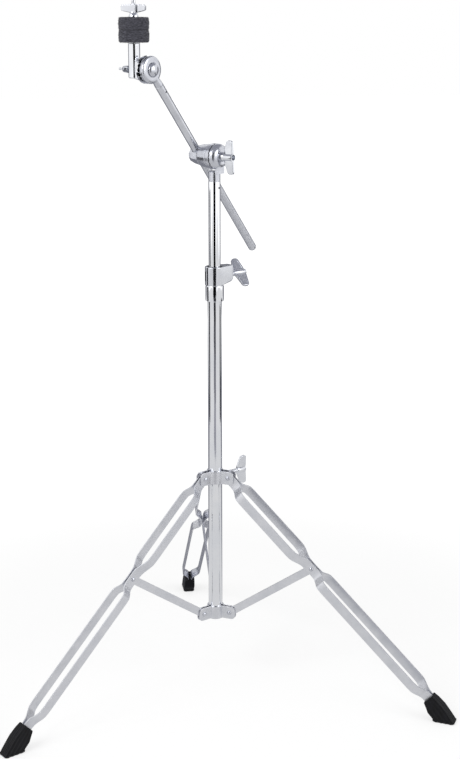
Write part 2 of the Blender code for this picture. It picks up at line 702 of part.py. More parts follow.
def build_tilter(mast, upper, chrome):
    """Base half with its ferrule in the mast, held by a cross pin along the tilter axis."""
    turn = (math.pi / 2, 0, TILTER_AZIMUTH + math.pi / 2)
    tilter = axis("tilter", mast, (0, 0, TILTER_ABOVE_MAST), turn)
    base = piece("tilter_base", tilter_base_mesh(), chrome, tilter)
    spigot = UPPER_RADIUS - TUBE_WALL - FIT
    stem = turned(
        ((0, -SPIGOT_LENGTH), (spigot, -SPIGOT_LENGTH), (spigot, FIT), (UPPER_RADIUS, FIT),
         (UPPER_RADIUS, FERRULE_HEIGHT - 2 * MM), (UPPER_RADIUS - 2 * MM, FERRULE_HEIGHT),
         (0, FERRULE_HEIGHT))
    )
    combine(base, tool("tilter_ferrule", stem, mast), "UNION")
    face = TILTER_JOINT_AT + FIT + 2 * TOOTH_DEPTH
    low = FERRULE_HEIGHT - TILTER_ABOVE_MAST - 4 * MM
    neck = box(
        (-TILTER_NECK_HALF_WIDTH, low, face),
        (TILTER_NECK_HALF_WIDTH, -TILTER_BOSS_RADIUS - 2 * MM, face + TILTER_BASE_DEPTH - 5 * MM),
    )
    combine(base, tool("tilter_neck", neck, tilter), "UNION")
    pin_turn = (0, math.pi / 2, TILTER_AZIMUTH)
    pin_spot = (0, 0, -TILTER_PIN_DROP)
    hole = tool("tilter_pin_hole", rod(TILTER_PIN_RADIUS + FIT, -UPPER_RADIUS * 2, UPPER_RADIUS * 2), mast,
                pin_spot, pin_turn)
    combine(base, hole)
    combine(upper, hole)
    reach = UPPER_RADIUS - FIT
    piece("tilter_pin", rod(TILTER_PIN_RADIUS, -reach, reach), chrome, mast, pin_spot, pin_turn)
    return tilter


def build_boom_head(tilter, chrome):
    """Turning half of the ratchet, the eye bolt that grips the arm, and its wing nut."""
    face, bore = TILTER_JOINT_AT, EYE_BOLT_RADIUS + FIT
    inner, outer = TILTER_TOOTH_INNER, TILTER_RADIUS
    end = FIT - BARREL_START
    clamp = turned(
        ((bore, end), (CLAMP_CONE_RADIUS, end),
         (outer - 0.6 * MM, -CLAMP_CONE_START), (outer, -CLAMP_CONE_START + 2 * MM),
         (outer, face), (inner, face), (inner, face - 2 * TOOTH_DEPTH), (bore, face - 2 * TOOTH_DEPTH)),
        2 * TOOTH_COUNT, (4, 5), -TOOTH_DEPTH,
    )
    piece("boom_clamp", clamp, chrome, tilter)
    edge = 2 * MM
    bolt = piece(
        "boom_eye_bolt",
        turned(
            ((0, -BARREL_END), (BARREL_RADIUS - edge, -BARREL_END), (BARREL_RADIUS, edge - BARREL_END),
             (BARREL_RADIUS, -BARREL_START), (EYE_BOLT_RADIUS, -BARREL_START),
             (EYE_BOLT_RADIUS, EYE_BOLT_END),
             (0, EYE_BOLT_END)), 24
        ), chrome, tilter,
    )
    cosine, sine = math.cos(ARM_LEAN), math.sin(ARM_LEAN)
    arm_turn = facing((0, 0, 1), (cosine, sine, 0), (-sine, cosine, 0))
    arm_spot = (0, 0, -ARM_OFFSET)
    hole = rod(ARM_RADIUS + FIT, -2 * BARREL_RADIUS, 2 * BARREL_RADIUS, 24)
    combine(bolt, tool("barrel_arm_hole", hole, tilter, arm_spot, arm_turn))
    start = TILTER_JOINT_AT + FIT + TILTER_BASE_DEPTH + TILTER_BOSS_HEIGHT + FIT
    end = start + BOOM_NUT_LENGTH
    profile = ((0, start), (6.5 * MM, start), (5.2 * MM, start + 4 * MM), (5.5 * MM, end - 2 * MM), (0, end))
    hub = turned(profile, 20)
    wings = wing_outline(51 * MM, start + 3 * MM, end, start + 6 * MM, end, 4.5 * MM)
    turn = (0, 0, math.pi / 2 + math.radians(4))
    wing_piece("boom_wing_nut", hub, wings, 4.2 * MM, chrome, tilter, (0, 0, 0), turn, EYE_BOLT_RADIUS + FIT)
    return axis("boom", tilter, arm_spot, arm_turn)


# Boom arm, cymbal ratchet and post


def build_arm(boom, chrome):
    """Arm about Z, closed and rounded at the tail; the eye's spigot is pinned in its other end."""
    mouth = ARM_TO_EYE - EYE_NECK
    inner = ARM_RADIUS - ARM_WALL
    arm = piece(
        "boom_arm",
        turned(
            ((0, -ARM_TAIL), (ARM_RADIUS * 0.55, 0.9 * MM - ARM_TAIL),
             (ARM_RADIUS * 0.9, 3.2 * MM - ARM_TAIL),
             (ARM_RADIUS, 6 * MM - ARM_TAIL), (ARM_RADIUS, mouth), (inner, mouth),
             (inner, 10 * MM - ARM_TAIL),
             (0, 10 * MM - ARM_TAIL))
        ), chrome, boom,
    )
    half = EYE_HALF_THICKNESS
    bore = PIVOT_BOLT_RADIUS + FIT
    outer, toothed = RATCHET_RADIUS, RATCHET_TOOTH_INNER
    eye_spot = (0, 0, ARM_TO_EYE)
    disc = turned(
        ((bore, 2 * TOOTH_DEPTH - half), (toothed, 2 * TOOTH_DEPTH - half), (toothed, -half), (outer, -half),
         (outer, half - 3.5 * MM), (outer - 1.2 * MM, half - 1.2 * MM), (outer - 4 * MM, half), (bore, half)),
        2 * TOOTH_COUNT, (2, 3), TOOTH_DEPTH,
    )
    eye = piece("boom_eye", disc, chrome, boom, eye_spot, ALONG_X)
    spigot = inner - FIT
    seat = mouth + FIT
    neck = turned(
        ((0, seat - EYE_SPIGOT), (spigot, seat - EYE_SPIGOT), (spigot, seat), (ARM_RADIUS, seat),
         (ARM_RADIUS, seat + 2 * MM), (half * 0.97, seat + 11 * MM),
         (half * 0.97, ARM_TO_EYE - toothed - 1 * MM),
         (0, ARM_TO_EYE - toothed - 1 * MM)), 24
    )
    combine(eye, tool("eye_neck", neck, boom), "UNION")
    pin_spot = (0, 0, ARM_TO_EYE - EYE_PIN_FROM_EYE)
    drill = rod(EYE_PIN_RADIUS + FIT, -ARM_DIAMETER, ARM_DIAMETER)
    hole = tool("eye_pin_hole", drill, boom, pin_spot, ALONG_X)
    combine(arm, hole)
    combine(eye, hole)
    reach = ARM_RADIUS - FIT
    piece("boom_pin", rod(EYE_PIN_RADIUS, -reach, reach), chrome, boom, pin_spot, ALONG_X)
    turn = (-ARM_LEAN, 0, 0)
    holder = axis("cymbal_pivot", boom, eye_spot, turn)
    head = EYE_HALF_THICKNESS + FIT
    nut_seat = POST_FAR_SIDE + FIT
    bolt = turned(
        ((0, -nut_seat - 12 * MM), (PIVOT_BOLT_RADIUS, -nut_seat - 12 * MM), (PIVOT_BOLT_RADIUS, head),
         (PIVOT_HEAD_RADIUS, head), (PIVOT_HEAD_RADIUS * 0.94, head + PIVOT_HEAD_HEIGHT * 0.4),
         (PIVOT_HEAD_RADIUS * 0.7, head + PIVOT_HEAD_HEIGHT * 0.78), (0, head + PIVOT_HEAD_HEIGHT)), 24
    )
    piece("pivot_bolt", bolt, chrome, holder, (0, 0, 0), ALONG_X)
    hub = turned(
        ((0, -nut_seat - 11 * MM), (4.6 * MM, -nut_seat - 11 * MM), (6 * MM, -nut_seat), (0, -nut_seat)), 20
    )
    wings = wing_outline(
        34 * MM, -nut_seat - 11 * MM, -nut_seat - 3 * MM, -nut_seat - 12 * MM, -nut_seat - 4 * MM, 3 * MM
    )
    turn = (*ALONG_X[:2], 0.0)
    nut = axis("pivot_nut", holder, (0, 0, 0), turn)
    wing_piece(
        "pivot_wing_nut", hub, wings, 3.4 * MM, chrome, nut,
        (0, 0, 0), (0, 0, PIVOT_NUT_ROLL), PIVOT_BOLT_RADIUS + FIT
    )
    return holder


def build_post(holder, chrome):
    """Post casting: ratchet disc facing the eye, cone to the post, blind hole for the rod."""
    bore = PIVOT_BOLT_RADIUS + FIT
    outer, toothed = RATCHET_RADIUS, RATCHET_TOOTH_INNER
    face = -RATCHET_FACE
    disc = turned(
        ((bore, -POST_OFFSET), (POST_CONE_RADIUS, -POST_OFFSET), (outer, face - RATCHET_RIM), (outer, face),
         (toothed, face), (toothed, face - 2 * TOOTH_DEPTH), (bore, face - 2 * TOOTH_DEPTH)),
        2 * TOOTH_COUNT, (3, 4), -TOOTH_DEPTH,
    )
    post = piece("cymbal_post", disc, chrome, holder, (0, 0, 0), ALONG_X)
    edge = 1.5 * MM
    stem = turned(
        ((0, -POST_CONE_RADIUS), (POST_RADIUS - edge, -POST_CONE_RADIUS),
         (POST_RADIUS, edge - POST_CONE_RADIUS),
         (POST_RADIUS, POST_RISE), (0, POST_RISE))
    )
    spot = (-POST_OFFSET, 0, 0)
    combine(post, tool("post_stem", stem, holder, spot), "UNION")
    through = rod(bore, -2 * POST_FAR_SIDE, 0)
    combine(post, tool("post_bolt_hole", through, holder, (0, 0, 0), ALONG_X))
    rod_hole = rod(ROD_RADIUS + FIT, POST_RISE - ROD_IN_POST - FIT, 2 * POST_RISE)
    combine(post, tool("post_rod_hole", rod_hole, holder, spot))
    return spot


def felt_mesh():
    """Felt washer with slightly bellied sides and soft edges."""
    belly = FELT_RADIUS + FELT_CROWN
    top = FELT_THICKNESS
    return turned(
        ((FELT_BORE, 0), (FELT_RADIUS - FELT_EDGE, 0), (FELT_RADIUS, FELT_EDGE),
         (belly, top * 0.35), (belly, top * 0.65),
         (FELT_RADIUS, top - FELT_EDGE), (FELT_RADIUS - FELT_EDGE, top), (FELT_BORE, top)), 28
    )


def build_cymbal_seat(holder, spot, chrome, nylon, felt):
    """Rod with washer, sleeve, two felts and the wing nut, stacked on top of the post."""
    stack = axis("cymbal_axis", holder, spot)
    hole = ROD_RADIUS + FIT
    level = POST_RISE + FIT
    piece("seat_washer", tube(POST_RADIUS, hole, level, level + WASHER_THICKNESS), chrome, stack)
    level += WASHER_THICKNESS + FIT
    sleeve_bottom = level
    for name in ("felt_lower", "felt_upper"):
        piece(name, felt_mesh(), felt, stack, (0, 0, level))
        level += FELT_THICKNESS + FIT
    sleeve = tube(hole + SLEEVE_WALL, hole, sleeve_bottom, level - FIT, SMALL_ROUND)
    piece("cymbal_sleeve", sleeve, nylon, stack)
    top = level + TOP_NUT_HUB_HEIGHT
    hub = turned(
        ((0, level), (TOP_NUT_HUB_RADIUS, level), (TOP_NUT_HUB_RADIUS * 0.95, level + 3 * MM),
         (TOP_NUT_HUB_RADIUS * 0.72, level + 7 * MM), (TOP_NUT_HUB_RADIUS * 0.7, top), (0, top)), 20
    )
    wings = wing_outline(38 * MM, level + 5 * MM, top, level + 9 * MM, top + 2 * MM, 3 * MM)
    nut = axis("top_nut", stack, (0, 0, 0), (0, 0, TOP_NUT_ROLL))
    wing_piece("cymbal_wing_nut", hub, wings, 3.6 * MM, chrome, nut, bore=hole)
    rod_top = top + ROD_ABOVE_NUT
    rod_mesh = turned(
        ((0, POST_RISE - ROD_IN_POST), (ROD_RADIUS, POST_RISE - ROD_IN_POST), (ROD_RADIUS, rod_top - 1 * MM),
         (ROD_RADIUS - 1 * MM, rod_top), (0, rod_top)), SMALL_ROUND
    )
    piece("cymbal_rod", rod_mesh, chrome, stack)


def centre_on_feet(root, feet):
    """Move the stand so that the middle of its footprint is at the origin."""
    bpy.context.view_layer.update()
    depths = [(foot.matrix_world @ vert.co).y for foot in feet for vert in foot.data.vertices]
    root.location.y = -(min(depths) + max(depths)) / 2


def main():
    """Builds the stand."""
    clear_scene()
    chrome = finish("chrome plated steel", (0.80, 0.81, 0.83), 0.10, 1.0)
    steel = finish("satin chrome strip steel", (0.62, 0.62, 0.65), 0.28, 1.0)
    rubber = finish("black moulded rubber", (0.018, 0.018, 0.020), 0.62, 0.0)
    nylon = finish("black nylon", (0.03, 0.03, 0.03), 0.45, 0.0)
    felt = finish("charcoal wool felt", (0.055, 0.055, 0.062), 0.95, 0.0)
    root = axis("stand")
    build_column(root, chrome)
    plate_ring("bracket", BRACKET_EAR, BRACKET_PIVOT_RADIUS, BRACKET_Z, steel, root)
    collar = axis("collar", root)
    plates = plate_ring("collar", COLLAR_EAR, COLLAR_PIVOT_RADIUS, COLLAR_Z, steel, collar)
    build_collar_lock(plates["right"], collar, steel)
    feet = []
    for side in LEG_ANGLES:
        feet.append(build_leg(side, collar, steel, rubber))
        build_strut(side, root, steel)
    build_height_clamp(root, chrome, nylon)
    mast, upper = build_mast(root, chrome)
    tilter = build_tilter(mast, upper, chrome)
    boom = build_boom_head(tilter, chrome)
    holder = build_arm(boom, chrome)
    spot = build_post(holder, chrome)
    build_cymbal_seat(holder, spot, chrome, nylon, felt)
    centre_on_feet(root, feet)


main()
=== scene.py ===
"""Looks of a cymbal boom stand: plated tubes, strip-steel tripod, ratchet boom, felts and rubber feet."""
import json
import logging
import math
from collections.abc import Callable
from dataclasses import dataclass
from enum import Enum

import bmesh
import bpy
from bmesh.types import BMEdge, BMesh, BMVert
from bpy.types import Material, Mesh, Node, NodeSocket, NodeTree, Object
from mathutils import Matrix, Vector, noise

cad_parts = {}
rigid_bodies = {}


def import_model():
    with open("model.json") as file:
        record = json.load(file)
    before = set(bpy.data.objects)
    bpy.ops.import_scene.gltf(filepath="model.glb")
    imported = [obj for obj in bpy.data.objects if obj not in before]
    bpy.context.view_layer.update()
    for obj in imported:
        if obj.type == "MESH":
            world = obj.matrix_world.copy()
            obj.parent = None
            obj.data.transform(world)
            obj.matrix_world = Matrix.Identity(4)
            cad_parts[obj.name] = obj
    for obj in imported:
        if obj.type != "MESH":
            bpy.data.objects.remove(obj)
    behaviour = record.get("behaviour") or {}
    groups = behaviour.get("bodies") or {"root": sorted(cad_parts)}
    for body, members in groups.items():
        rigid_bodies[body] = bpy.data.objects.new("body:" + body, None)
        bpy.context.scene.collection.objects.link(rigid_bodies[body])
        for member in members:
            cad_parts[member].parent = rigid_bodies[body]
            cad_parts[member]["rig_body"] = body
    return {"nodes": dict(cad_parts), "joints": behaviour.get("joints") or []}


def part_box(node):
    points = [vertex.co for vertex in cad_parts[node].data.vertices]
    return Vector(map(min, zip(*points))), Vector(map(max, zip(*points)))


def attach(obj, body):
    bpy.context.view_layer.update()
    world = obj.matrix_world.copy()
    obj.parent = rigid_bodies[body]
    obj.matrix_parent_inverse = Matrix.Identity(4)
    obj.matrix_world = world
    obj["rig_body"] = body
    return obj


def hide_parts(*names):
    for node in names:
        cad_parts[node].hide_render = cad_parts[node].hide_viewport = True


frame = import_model()
LOG = logging.getLogger("cymbal_stand")
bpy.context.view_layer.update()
MM = 0.001
UP = Vector((0, 0, 1))
IN_PLACE = Matrix.Identity(4)
MERGE_DISTANCE = 0.002 * MM
FLAT_ANGLE = math.radians(1.0)
CRISP_ANGLE = math.radians(42.0)
Profile = tuple[tuple[float, float], ...]
Move = Callable[[Vector], Vector]


class Slot(Enum):
    """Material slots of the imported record."""

    CHROME = "chrome"
    STRIP_STEEL = "strip_steel"
    RUBBER = "rubber"
    NYLON = "nylon"
    FELT = "felt"


class Side(Enum):
    """The three legs, by the way they point."""

    BACK = "back"
    LEFT = "left"
    RIGHT = "right"


class Combine(Enum):
    """Ways to put two closed meshes together."""

    JOIN = "UNION"
    CUT = "DIFFERENCE"


# Colours and nodes


def linear(hex_colour: str) -> tuple[float, float, float, float]:
    """Turns an sRGB hex colour into linear light, by the curve that defines sRGB.

    Args:
        hex_colour: Six hex digits with a leading hash.

    Returns:
        Linear red, green and blue, with alpha 1.
    """
    parts = [int(hex_colour[start:start + 2], 16) / 255 for start in (1, 3, 5)]
    light = [part / 12.92 if part <= 0.04045 else ((part + 0.055) / 1.055) ** 2.4 for part in parts]
    return (*light, 1.0)


def add_node(
    tree: NodeTree, kind: str, inputs: dict[str | int, object] | None = None, **settings: str
) -> Node:
    """Adds a node, sets its properties, then sets or links its inputs.

    Args:
        tree: The tree that gets the node.
        kind: The node's type name.
        inputs: Input name or index to a value, or to the socket that feeds it.
        **settings: The node's own properties.

    Returns:
        The new node.
    """
    node = tree.nodes.new(kind)
    for key, value in settings.items():
        setattr(node, key, value)
    for key, value in (inputs or {}).items():
        if isinstance(value, NodeSocket):
            tree.links.new(value, node.inputs[key])
        else:
            node.inputs[key].default_value = value
    return node


def per_metre(size_mm: float) -> float:
    """Pattern scale whose features are this many millimetres across."""
    return 1.0 / (size_mm * MM)


def share(value: float) -> float:
    """Keeps a value between 0 and 1."""
    return min(1.0, max(0.0, value))


# Finishes

# Stretches of the noise over which a finish goes from one tone, or one gloss, to the other
TONE_BAND = (0.32, 0.68)
GLOSS_BAND = (0.3, 0.7)


@dataclass(frozen=True)
class Finish:
    """A surface finish that builds its own material."""

    name: str
    slot: Slot
    colour: str
    shade: str
    roughness: float
    metallic: float = 0.0
    cloud_mm: float = 14.0
    haze: float = 0.05
    grain_mm: float = 1.2
    grain_height_mm: float = 0.004
    stretch: tuple[float, float, float] = (1.0, 1.0, 1.0)
    sheen: float = 0.0
    specular: float = 0.5

    def build(self) -> Material:
        """Builds the material: two tones in soft clouds, uneven gloss, and a fine grain in the surface.

        Returns:
            The material.
        """
        material = bpy.data.materials.new(self.name)
        material.use_nodes = True
        tree = material.node_tree
        shader = tree.nodes["Principled BSDF"]
        shader.inputs["Metallic"].default_value = self.metallic
        shader.inputs["Sheen Weight"].default_value = self.sheen
        shader.inputs["Specular IOR Level"].default_value = self.specular
        place = add_node(tree, "ShaderNodeTexCoord").outputs["Object"]
        run = add_node(tree, "ShaderNodeMapping", {"Vector": place, "Scale": self.stretch}).outputs["Vector"]
        cloud = add_node(tree, "ShaderNodeTexNoise", {
            "Vector": run, "Scale": per_metre(self.cloud_mm), "Detail": 3.0,
        }).outputs["Fac"]
        blend = add_node(tree, "ShaderNodeMapRange", {
            "Value": cloud, "From Min": TONE_BAND[0], "From Max": TONE_BAND[1],
        })
        tone = add_node(tree, "ShaderNodeMix", {
            0: blend.outputs["Result"], 6: linear(self.colour), 7: linear(self.shade),
        }, data_type="RGBA")
        gloss = add_node(tree, "ShaderNodeMapRange", {
            "Value": cloud, "From Min": GLOSS_BAND[0], "From Max": GLOSS_BAND[1],
            "To Min": self.roughness, "To Max": self.roughness + self.haze,
        })
        grain = add_node(tree, "ShaderNodeTexNoise", {
            "Vector": run, "Scale": per_metre(self.grain_mm), "Detail": 2.0,
        })
        bump = add_node(tree, "ShaderNodeBump", {
            "Height": grain.outputs["Fac"], "Strength": 1.0, "Distance": self.grain_height_mm * MM,
        })
        tree.links.new(tone.outputs[2], shader.inputs["Base Color"])
        tree.links.new(gloss.outputs["Result"], shader.inputs["Roughness"])
        tree.links.new(bump.outputs["Normal"], shader.inputs["Normal"])
        return material


# Bright nickel-chrome on drawn tube: a clear mirror with hardly any haze. On the broken edges of the strips
# and struts it is lighter than the strip's chrome: a painted highlight along each edge
BRIGHT_CHROME = Finish("bright chrome plate on drawn tube", Slot.CHROME, "#F4F5F8", "#ECEEF3", 0.05, 1.0,
                       cloud_mm=30.0, haze=0.03, grain_mm=6.0, grain_height_mm=0.004)
# Chrome on die-cast zinc: soft edges and a slight ripple from the casting
CAST_CHROME = Finish("chrome plate on die-cast zinc", Slot.CHROME, "#D6D8DF", "#C8CAD2", 0.22, 1.0,
                     cloud_mm=11.0, haze=0.06, grain_mm=2.5, grain_height_mm=0.008)
# The same casting where it was buffed before plating: clearer, still with soft edges
BUFFED_CHROME = Finish("buffed chrome plate on die-cast zinc", Slot.CHROME, "#E8EAEF", "#DCDEE4", 0.09, 1.0,
                       cloud_mm=14.0, haze=0.05, grain_mm=4.0, grain_height_mm=0.005)
# Pebbled panel left by the casting die, drawn coarse enough to show
PEBBLED_CHROME = Finish("pebbled chrome in a cast recess", Slot.CHROME, "#D2D4DA", "#B2B5BD", 0.30, 1.0,
                        cloud_mm=2.0, haze=0.12, grain_mm=0.9, grain_height_mm=0.16)
# Chrome on cold-rolled strip: rolled lengthwise, so a little satin
STRIP_CHROME = Finish("satin chrome plate on rolled strip", Slot.STRIP_STEEL, "#E4E5EA", "#D8DAE0", 0.30, 1.0,
                      cloud_mm=22.0, haze=0.08, grain_mm=1.6, grain_height_mm=0.005)
# Chrome over a brushed tube: soft bands of light along the arm
SATIN_CHROME = Finish("satin chrome plate on drawn tube", Slot.CHROME, "#DADCE2", "#CDCFD6", 0.20, 1.0,
                      cloud_mm=16.0, haze=0.06, grain_mm=0.9, grain_height_mm=0.004)
# Knurled chrome: each small facet is soft, so the knurl reads as satin from a step away
KNURLED_CHROME = Finish("chrome plate on knurled steel", Slot.CHROME, "#D6D8DE", "#C8CAD1", 0.30, 1.0,
                        cloud_mm=6.0, haze=0.08, grain_mm=1.0, grain_height_mm=0.004)
# Spring pins in the castings: blued steel, almost black
BLUED_STEEL = Finish("blued steel spring pin", Slot.CHROME, "#34353A", "#24252A", 0.38, 1.0,
                     cloud_mm=1.5, haze=0.10, grain_mm=0.8, grain_height_mm=0.004)
# Moulded black rubber: matt, with dust-grey bloom
BLACK_RUBBER = Finish("moulded black rubber", Slot.RUBBER, "#0A0A0D", "#131318", 0.36, 0.0,
                      cloud_mm=8.0, haze=0.14, grain_mm=0.7, grain_height_mm=0.04, specular=0.2)
# Black nylon bush and sleeve: waxy, slightly grained
BLACK_NYLON = Finish("moulded black nylon", Slot.NYLON, "#1F1F22", "#2A2A2E", 0.40, 0.0,
                     cloud_mm=5.0, haze=0.10, grain_mm=0.6, grain_height_mm=0.02)
# Pressed wool felt: matt, fibres lying in flat layers; the layers are drawn coarse enough to show
CHARCOAL_FELT = Finish("pressed charcoal wool felt", Slot.FELT, "#1E1E25", "#5E5E69", 0.94, 0.0,
                       cloud_mm=1.3, haze=0.04, grain_mm=1.0, grain_height_mm=0.5,
                       stretch=(0.3, 0.3, 1.3), sheen=0.2)


class Palette(dict[Finish, Material]):
    """Materials of the stand, each built at its first use."""

    def __missing__(self, finish: Finish) -> Material:
        """Builds and keeps a finish's material."""
        self[finish] = finish.build()
        return self[finish]


PALETTE = Palette()


# Places in the frame


def frame_at(origin: Vector, z_axis: Vector, x_axis: Vector) -> Matrix:
    """Placement whose Z and X follow the given directions.

    Args:
        origin: Where the frame's zero is.
        z_axis: Direction of Z.
        x_axis: Direction near X.

    Returns:
        The placement as a matrix.
    """
    z = z_axis.normalized()
    y = z.cross(x_axis).normalized()
    x = y.cross(z)
    return Matrix.Translation(origin) @ Matrix((x, y, z)).transposed().to_4x4()


def joint(name: str) -> tuple[Vector, Vector]:
    """Place and axis of a packed joint; a slide, which has no place of its own, gives the origin."""
    item = next(item for item in frame["joints"] if item["name"] == name)
    return Vector(item.get("pos_m", (0, 0, 0))), Vector(item["axis"])


def joint_frame(name: str, x_axis: Vector, turn: float = 0.0) -> Matrix:
    """Frame of a joint, Z along its axis.

    Args:
        name: The joint.
        x_axis: Direction near X.
        turn: Degrees by which the frame is then turned about Z.

    Returns:
        The frame as a matrix.
    """
    place, axis = joint(name)
    return frame_at(place, axis, x_axis) @ Matrix.Rotation(math.radians(turn), 4, "Z")


def body_of_node(node: str) -> str:
    """The body that carries a CAD node."""
    return frame["nodes"][node]["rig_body"]


def box_of(node: str) -> tuple[Vector, Vector, Vector]:
    """Low corner, high corner and middle of a CAD node's box."""
    low, high = (Vector(corner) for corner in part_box(node))
    return low, high, (low + high) / 2


# Objects and meshes


def placed(name: str, data: bpy.types.ID) -> Object:
    """Makes an object and puts it in the scene.

    Args:
        name: The object's name.
        data: Its mesh, camera or lamp.

    Returns:
        The object.
    """
    item = bpy.data.objects.new(name, data)
    bpy.context.scene.collection.objects.link(item)
    return item


def working(mesh: BMesh) -> Object:
    """Puts a working mesh, which is freed, in the scene for a modifier.

    Args:
        mesh: The working mesh.

    Returns:
        The object that holds it.
    """
    data = bpy.data.meshes.new("working")
    mesh.to_mesh(data)
    mesh.free()
    return placed("working", data)


def discard(holder: Object) -> None:
    """Removes a mesh, and with it the object that holds it."""
    bpy.data.meshes.remove(holder.data)


def modified(holder: Object) -> Mesh:
    """Takes an object's mesh with its modifiers applied, and discards the object.

    Args:
        holder: The object.

    Returns:
        The plain mesh.
    """
    depsgraph = bpy.context.evaluated_depsgraph_get()
    result = bpy.data.meshes.new_from_object(holder.evaluated_get(depsgraph))
    discard(holder)
    return result


def settled(mesh: BMesh, placement: Matrix = IN_PLACE, sharp: float = 35.0) -> Mesh:
    """Turns a working mesh into a smooth-shaded one in its place, with its flat faces left flat.

    Args:
        mesh: The working mesh, which is freed.
        placement: Where it goes in the stand's frame.
        sharp: Edges that turn more than this many degrees stay crisp.

    Returns:
        The mesh.
    """
    mesh.transform(placement)
    holder = working(mesh)
    holder.data.shade_smooth()
    holder.data.set_sharp_from_angle(angle=math.radians(sharp))
    flats = holder.modifiers.new("flats", "WEIGHTED_NORMAL")
    flats.keep_sharp = True
    return modified(holder)


def combined(first: BMesh, second: BMesh, way: Combine) -> BMesh:
    """Joins two closed working meshes, or cuts one with the other.

    Args:
        first: The mesh that is kept, which is freed.
        second: The mesh that is added or taken away, which is freed.
        way: Whether they are joined or cut.

    Returns:
        The result as a working mesh.
    """
    kept, other = working(first), working(second)
    modifier = kept.modifiers.new("combine", "BOOLEAN")
    modifier.operation = way.value
    modifier.object = other
    modifier.solver = "EXACT"
    data = modified(kept)
    discard(other)
    result = bmesh.new()
    result.from_mesh(data)
    bpy.data.meshes.remove(data)
    return result


def show(name: str, mesh: Mesh, finishes: list[Finish], body: str, nodes: list[str]) -> Object:
    """Makes a piece of the stand from a mesh that is already in place.

    Args:
        name: The piece's name.
        mesh: Its mesh, in the stand's frame.
        finishes: Its finishes, the main one first.
        body: The body that carries it.
        nodes: The CAD nodes that it stands for.

    Returns:
        The piece.
    """
    mesh.name = name
    # Clearing also forgets which face wears which finish, so only a mesh that a tree has dressed is cleared
    if mesh.materials:
        mesh.materials.clear()
    for finish in finishes:
        mesh.materials.append(PALETTE[finish])
    piece = placed(name, mesh)
    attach(piece, body)
    if nodes:
        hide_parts(*nodes)
    finishes[0].slot.value
    LOG.info("%s on %s: %d faces", name, body, len(mesh.polygons))
    return piece


def stand_in(node: str, made: str, mesh: Mesh, *finishes: Finish) -> Object:
    """Shows a mesh in place of one CAD node, named for the node and for how the piece is made."""
    return show(f"{node}_{made}", mesh, list(finishes), body_of_node(node), [node])


# Shapes

# How much of a side the rounding of one of its corners may take
CORNER_SHARE = 0.48
# Side walls of a slab have four corners, its two faces many more
WALL_CORNERS = 8


def turned(profile: Profile, segments: int, toothed: tuple[int, ...] = (), depth: float = 0.0) -> BMesh:
    """Turns (radius, height) points, in millimetres, about Z.

    Args:
        profile: Points that start and end on the axis, or close on themselves.
        segments: Facets round the axis.
        toothed: Places in the profile of the points that step up and down, as radial teeth do.
        depth: Height of that step.

    Returns:
        The closed mesh, in metres.
    """
    mesh = bmesh.new()
    rings = []
    for index, (radius, height) in enumerate(profile):
        ring = []
        for step in range(segments if radius > 0 else 1):
            angle = 2 * math.pi * step / segments
            level = height + (depth if index in toothed and step % 2 else 0.0)
            point = Vector((radius * math.cos(angle), radius * math.sin(angle), level))
            ring.append(mesh.verts.new(point * MM))
        rings.append(ring)
    pairs = list(zip(rings, rings[1:]))
    if profile[0][0] > 0:
        pairs.append((rings[-1], rings[0]))
    for near, far in pairs:
        for step in range(segments):
            places = ((near, step), (near, step + 1), (far, step + 1), (far, step))
            corners = dict.fromkeys(ring[place % len(ring)] for ring, place in places)
            mesh.faces.new(tuple(corners))
    bmesh.ops.recalc_face_normals(mesh, faces=mesh.faces)
    return mesh


def bar(radius: float, low: float, high: float, segments: int) -> BMesh:
    """Turns a plain closed bar about Z, sizes in millimetres."""
    return turned(((0, low), (radius, low), (radius, high), (0, high)), segments)


def upright_tube(node: str, made: str, outer: float, inner: float, edge: float, segments: int) -> None:
    """Turns an upright tube in place of its CAD node, its outer edges broken by a small chamfer.

    Args:
        node: The tube's CAD node.
        made: How the tube is made, for its name.
        outer: Outer radius in millimetres.
        inner: Inner radius.
        edge: Width of the chamfer.
        segments: Facets round the tube.
    """
    low, high, middle = box_of(node)
    bottom, top = low.z / MM, high.z / MM
    profile = (
        (inner, bottom), (outer - edge, bottom), (outer, bottom + edge),
        (outer, top - edge), (outer - edge, top), (inner, top),
    )
    place = Matrix.Translation((middle.x, middle.y, 0))
    stand_in(node, made, settled(turned(profile, segments), place), BRIGHT_CHROME)


def eased(points: Profile, reach: float, steps: int = 5) -> list[Vector]:
    """Rounds the corners of a closed flat outline.

    Args:
        points: Corners in order.
        reach: How far from each corner the rounding starts.
        steps: Pieces in each rounded corner.

    Returns:
        The rounded outline.
    """
    path = []
    for index, point in enumerate(points):
        here = Vector(point)
        before = Vector(points[index - 1]) - here
        after = Vector(points[(index + 1) % len(points)]) - here
        start = here + before.normalized() * min(reach, before.length * CORNER_SHARE)
        end = here + after.normalized() * min(reach, after.length * CORNER_SHARE)
        for step in range(steps + 1):
            t = step / steps
            path.append(start * (1 - t) ** 2 + here * 2 * t * (1 - t) + end * t**2)
    return path


def round_over(mesh: BMesh, edges: list[BMEdge], width: float) -> None:
    """Rounds edges over, to a width in millimetres."""
    bmesh.ops.bevel(mesh, geom=edges, offset=width * MM, segments=3, profile=0.5, affect="EDGES")


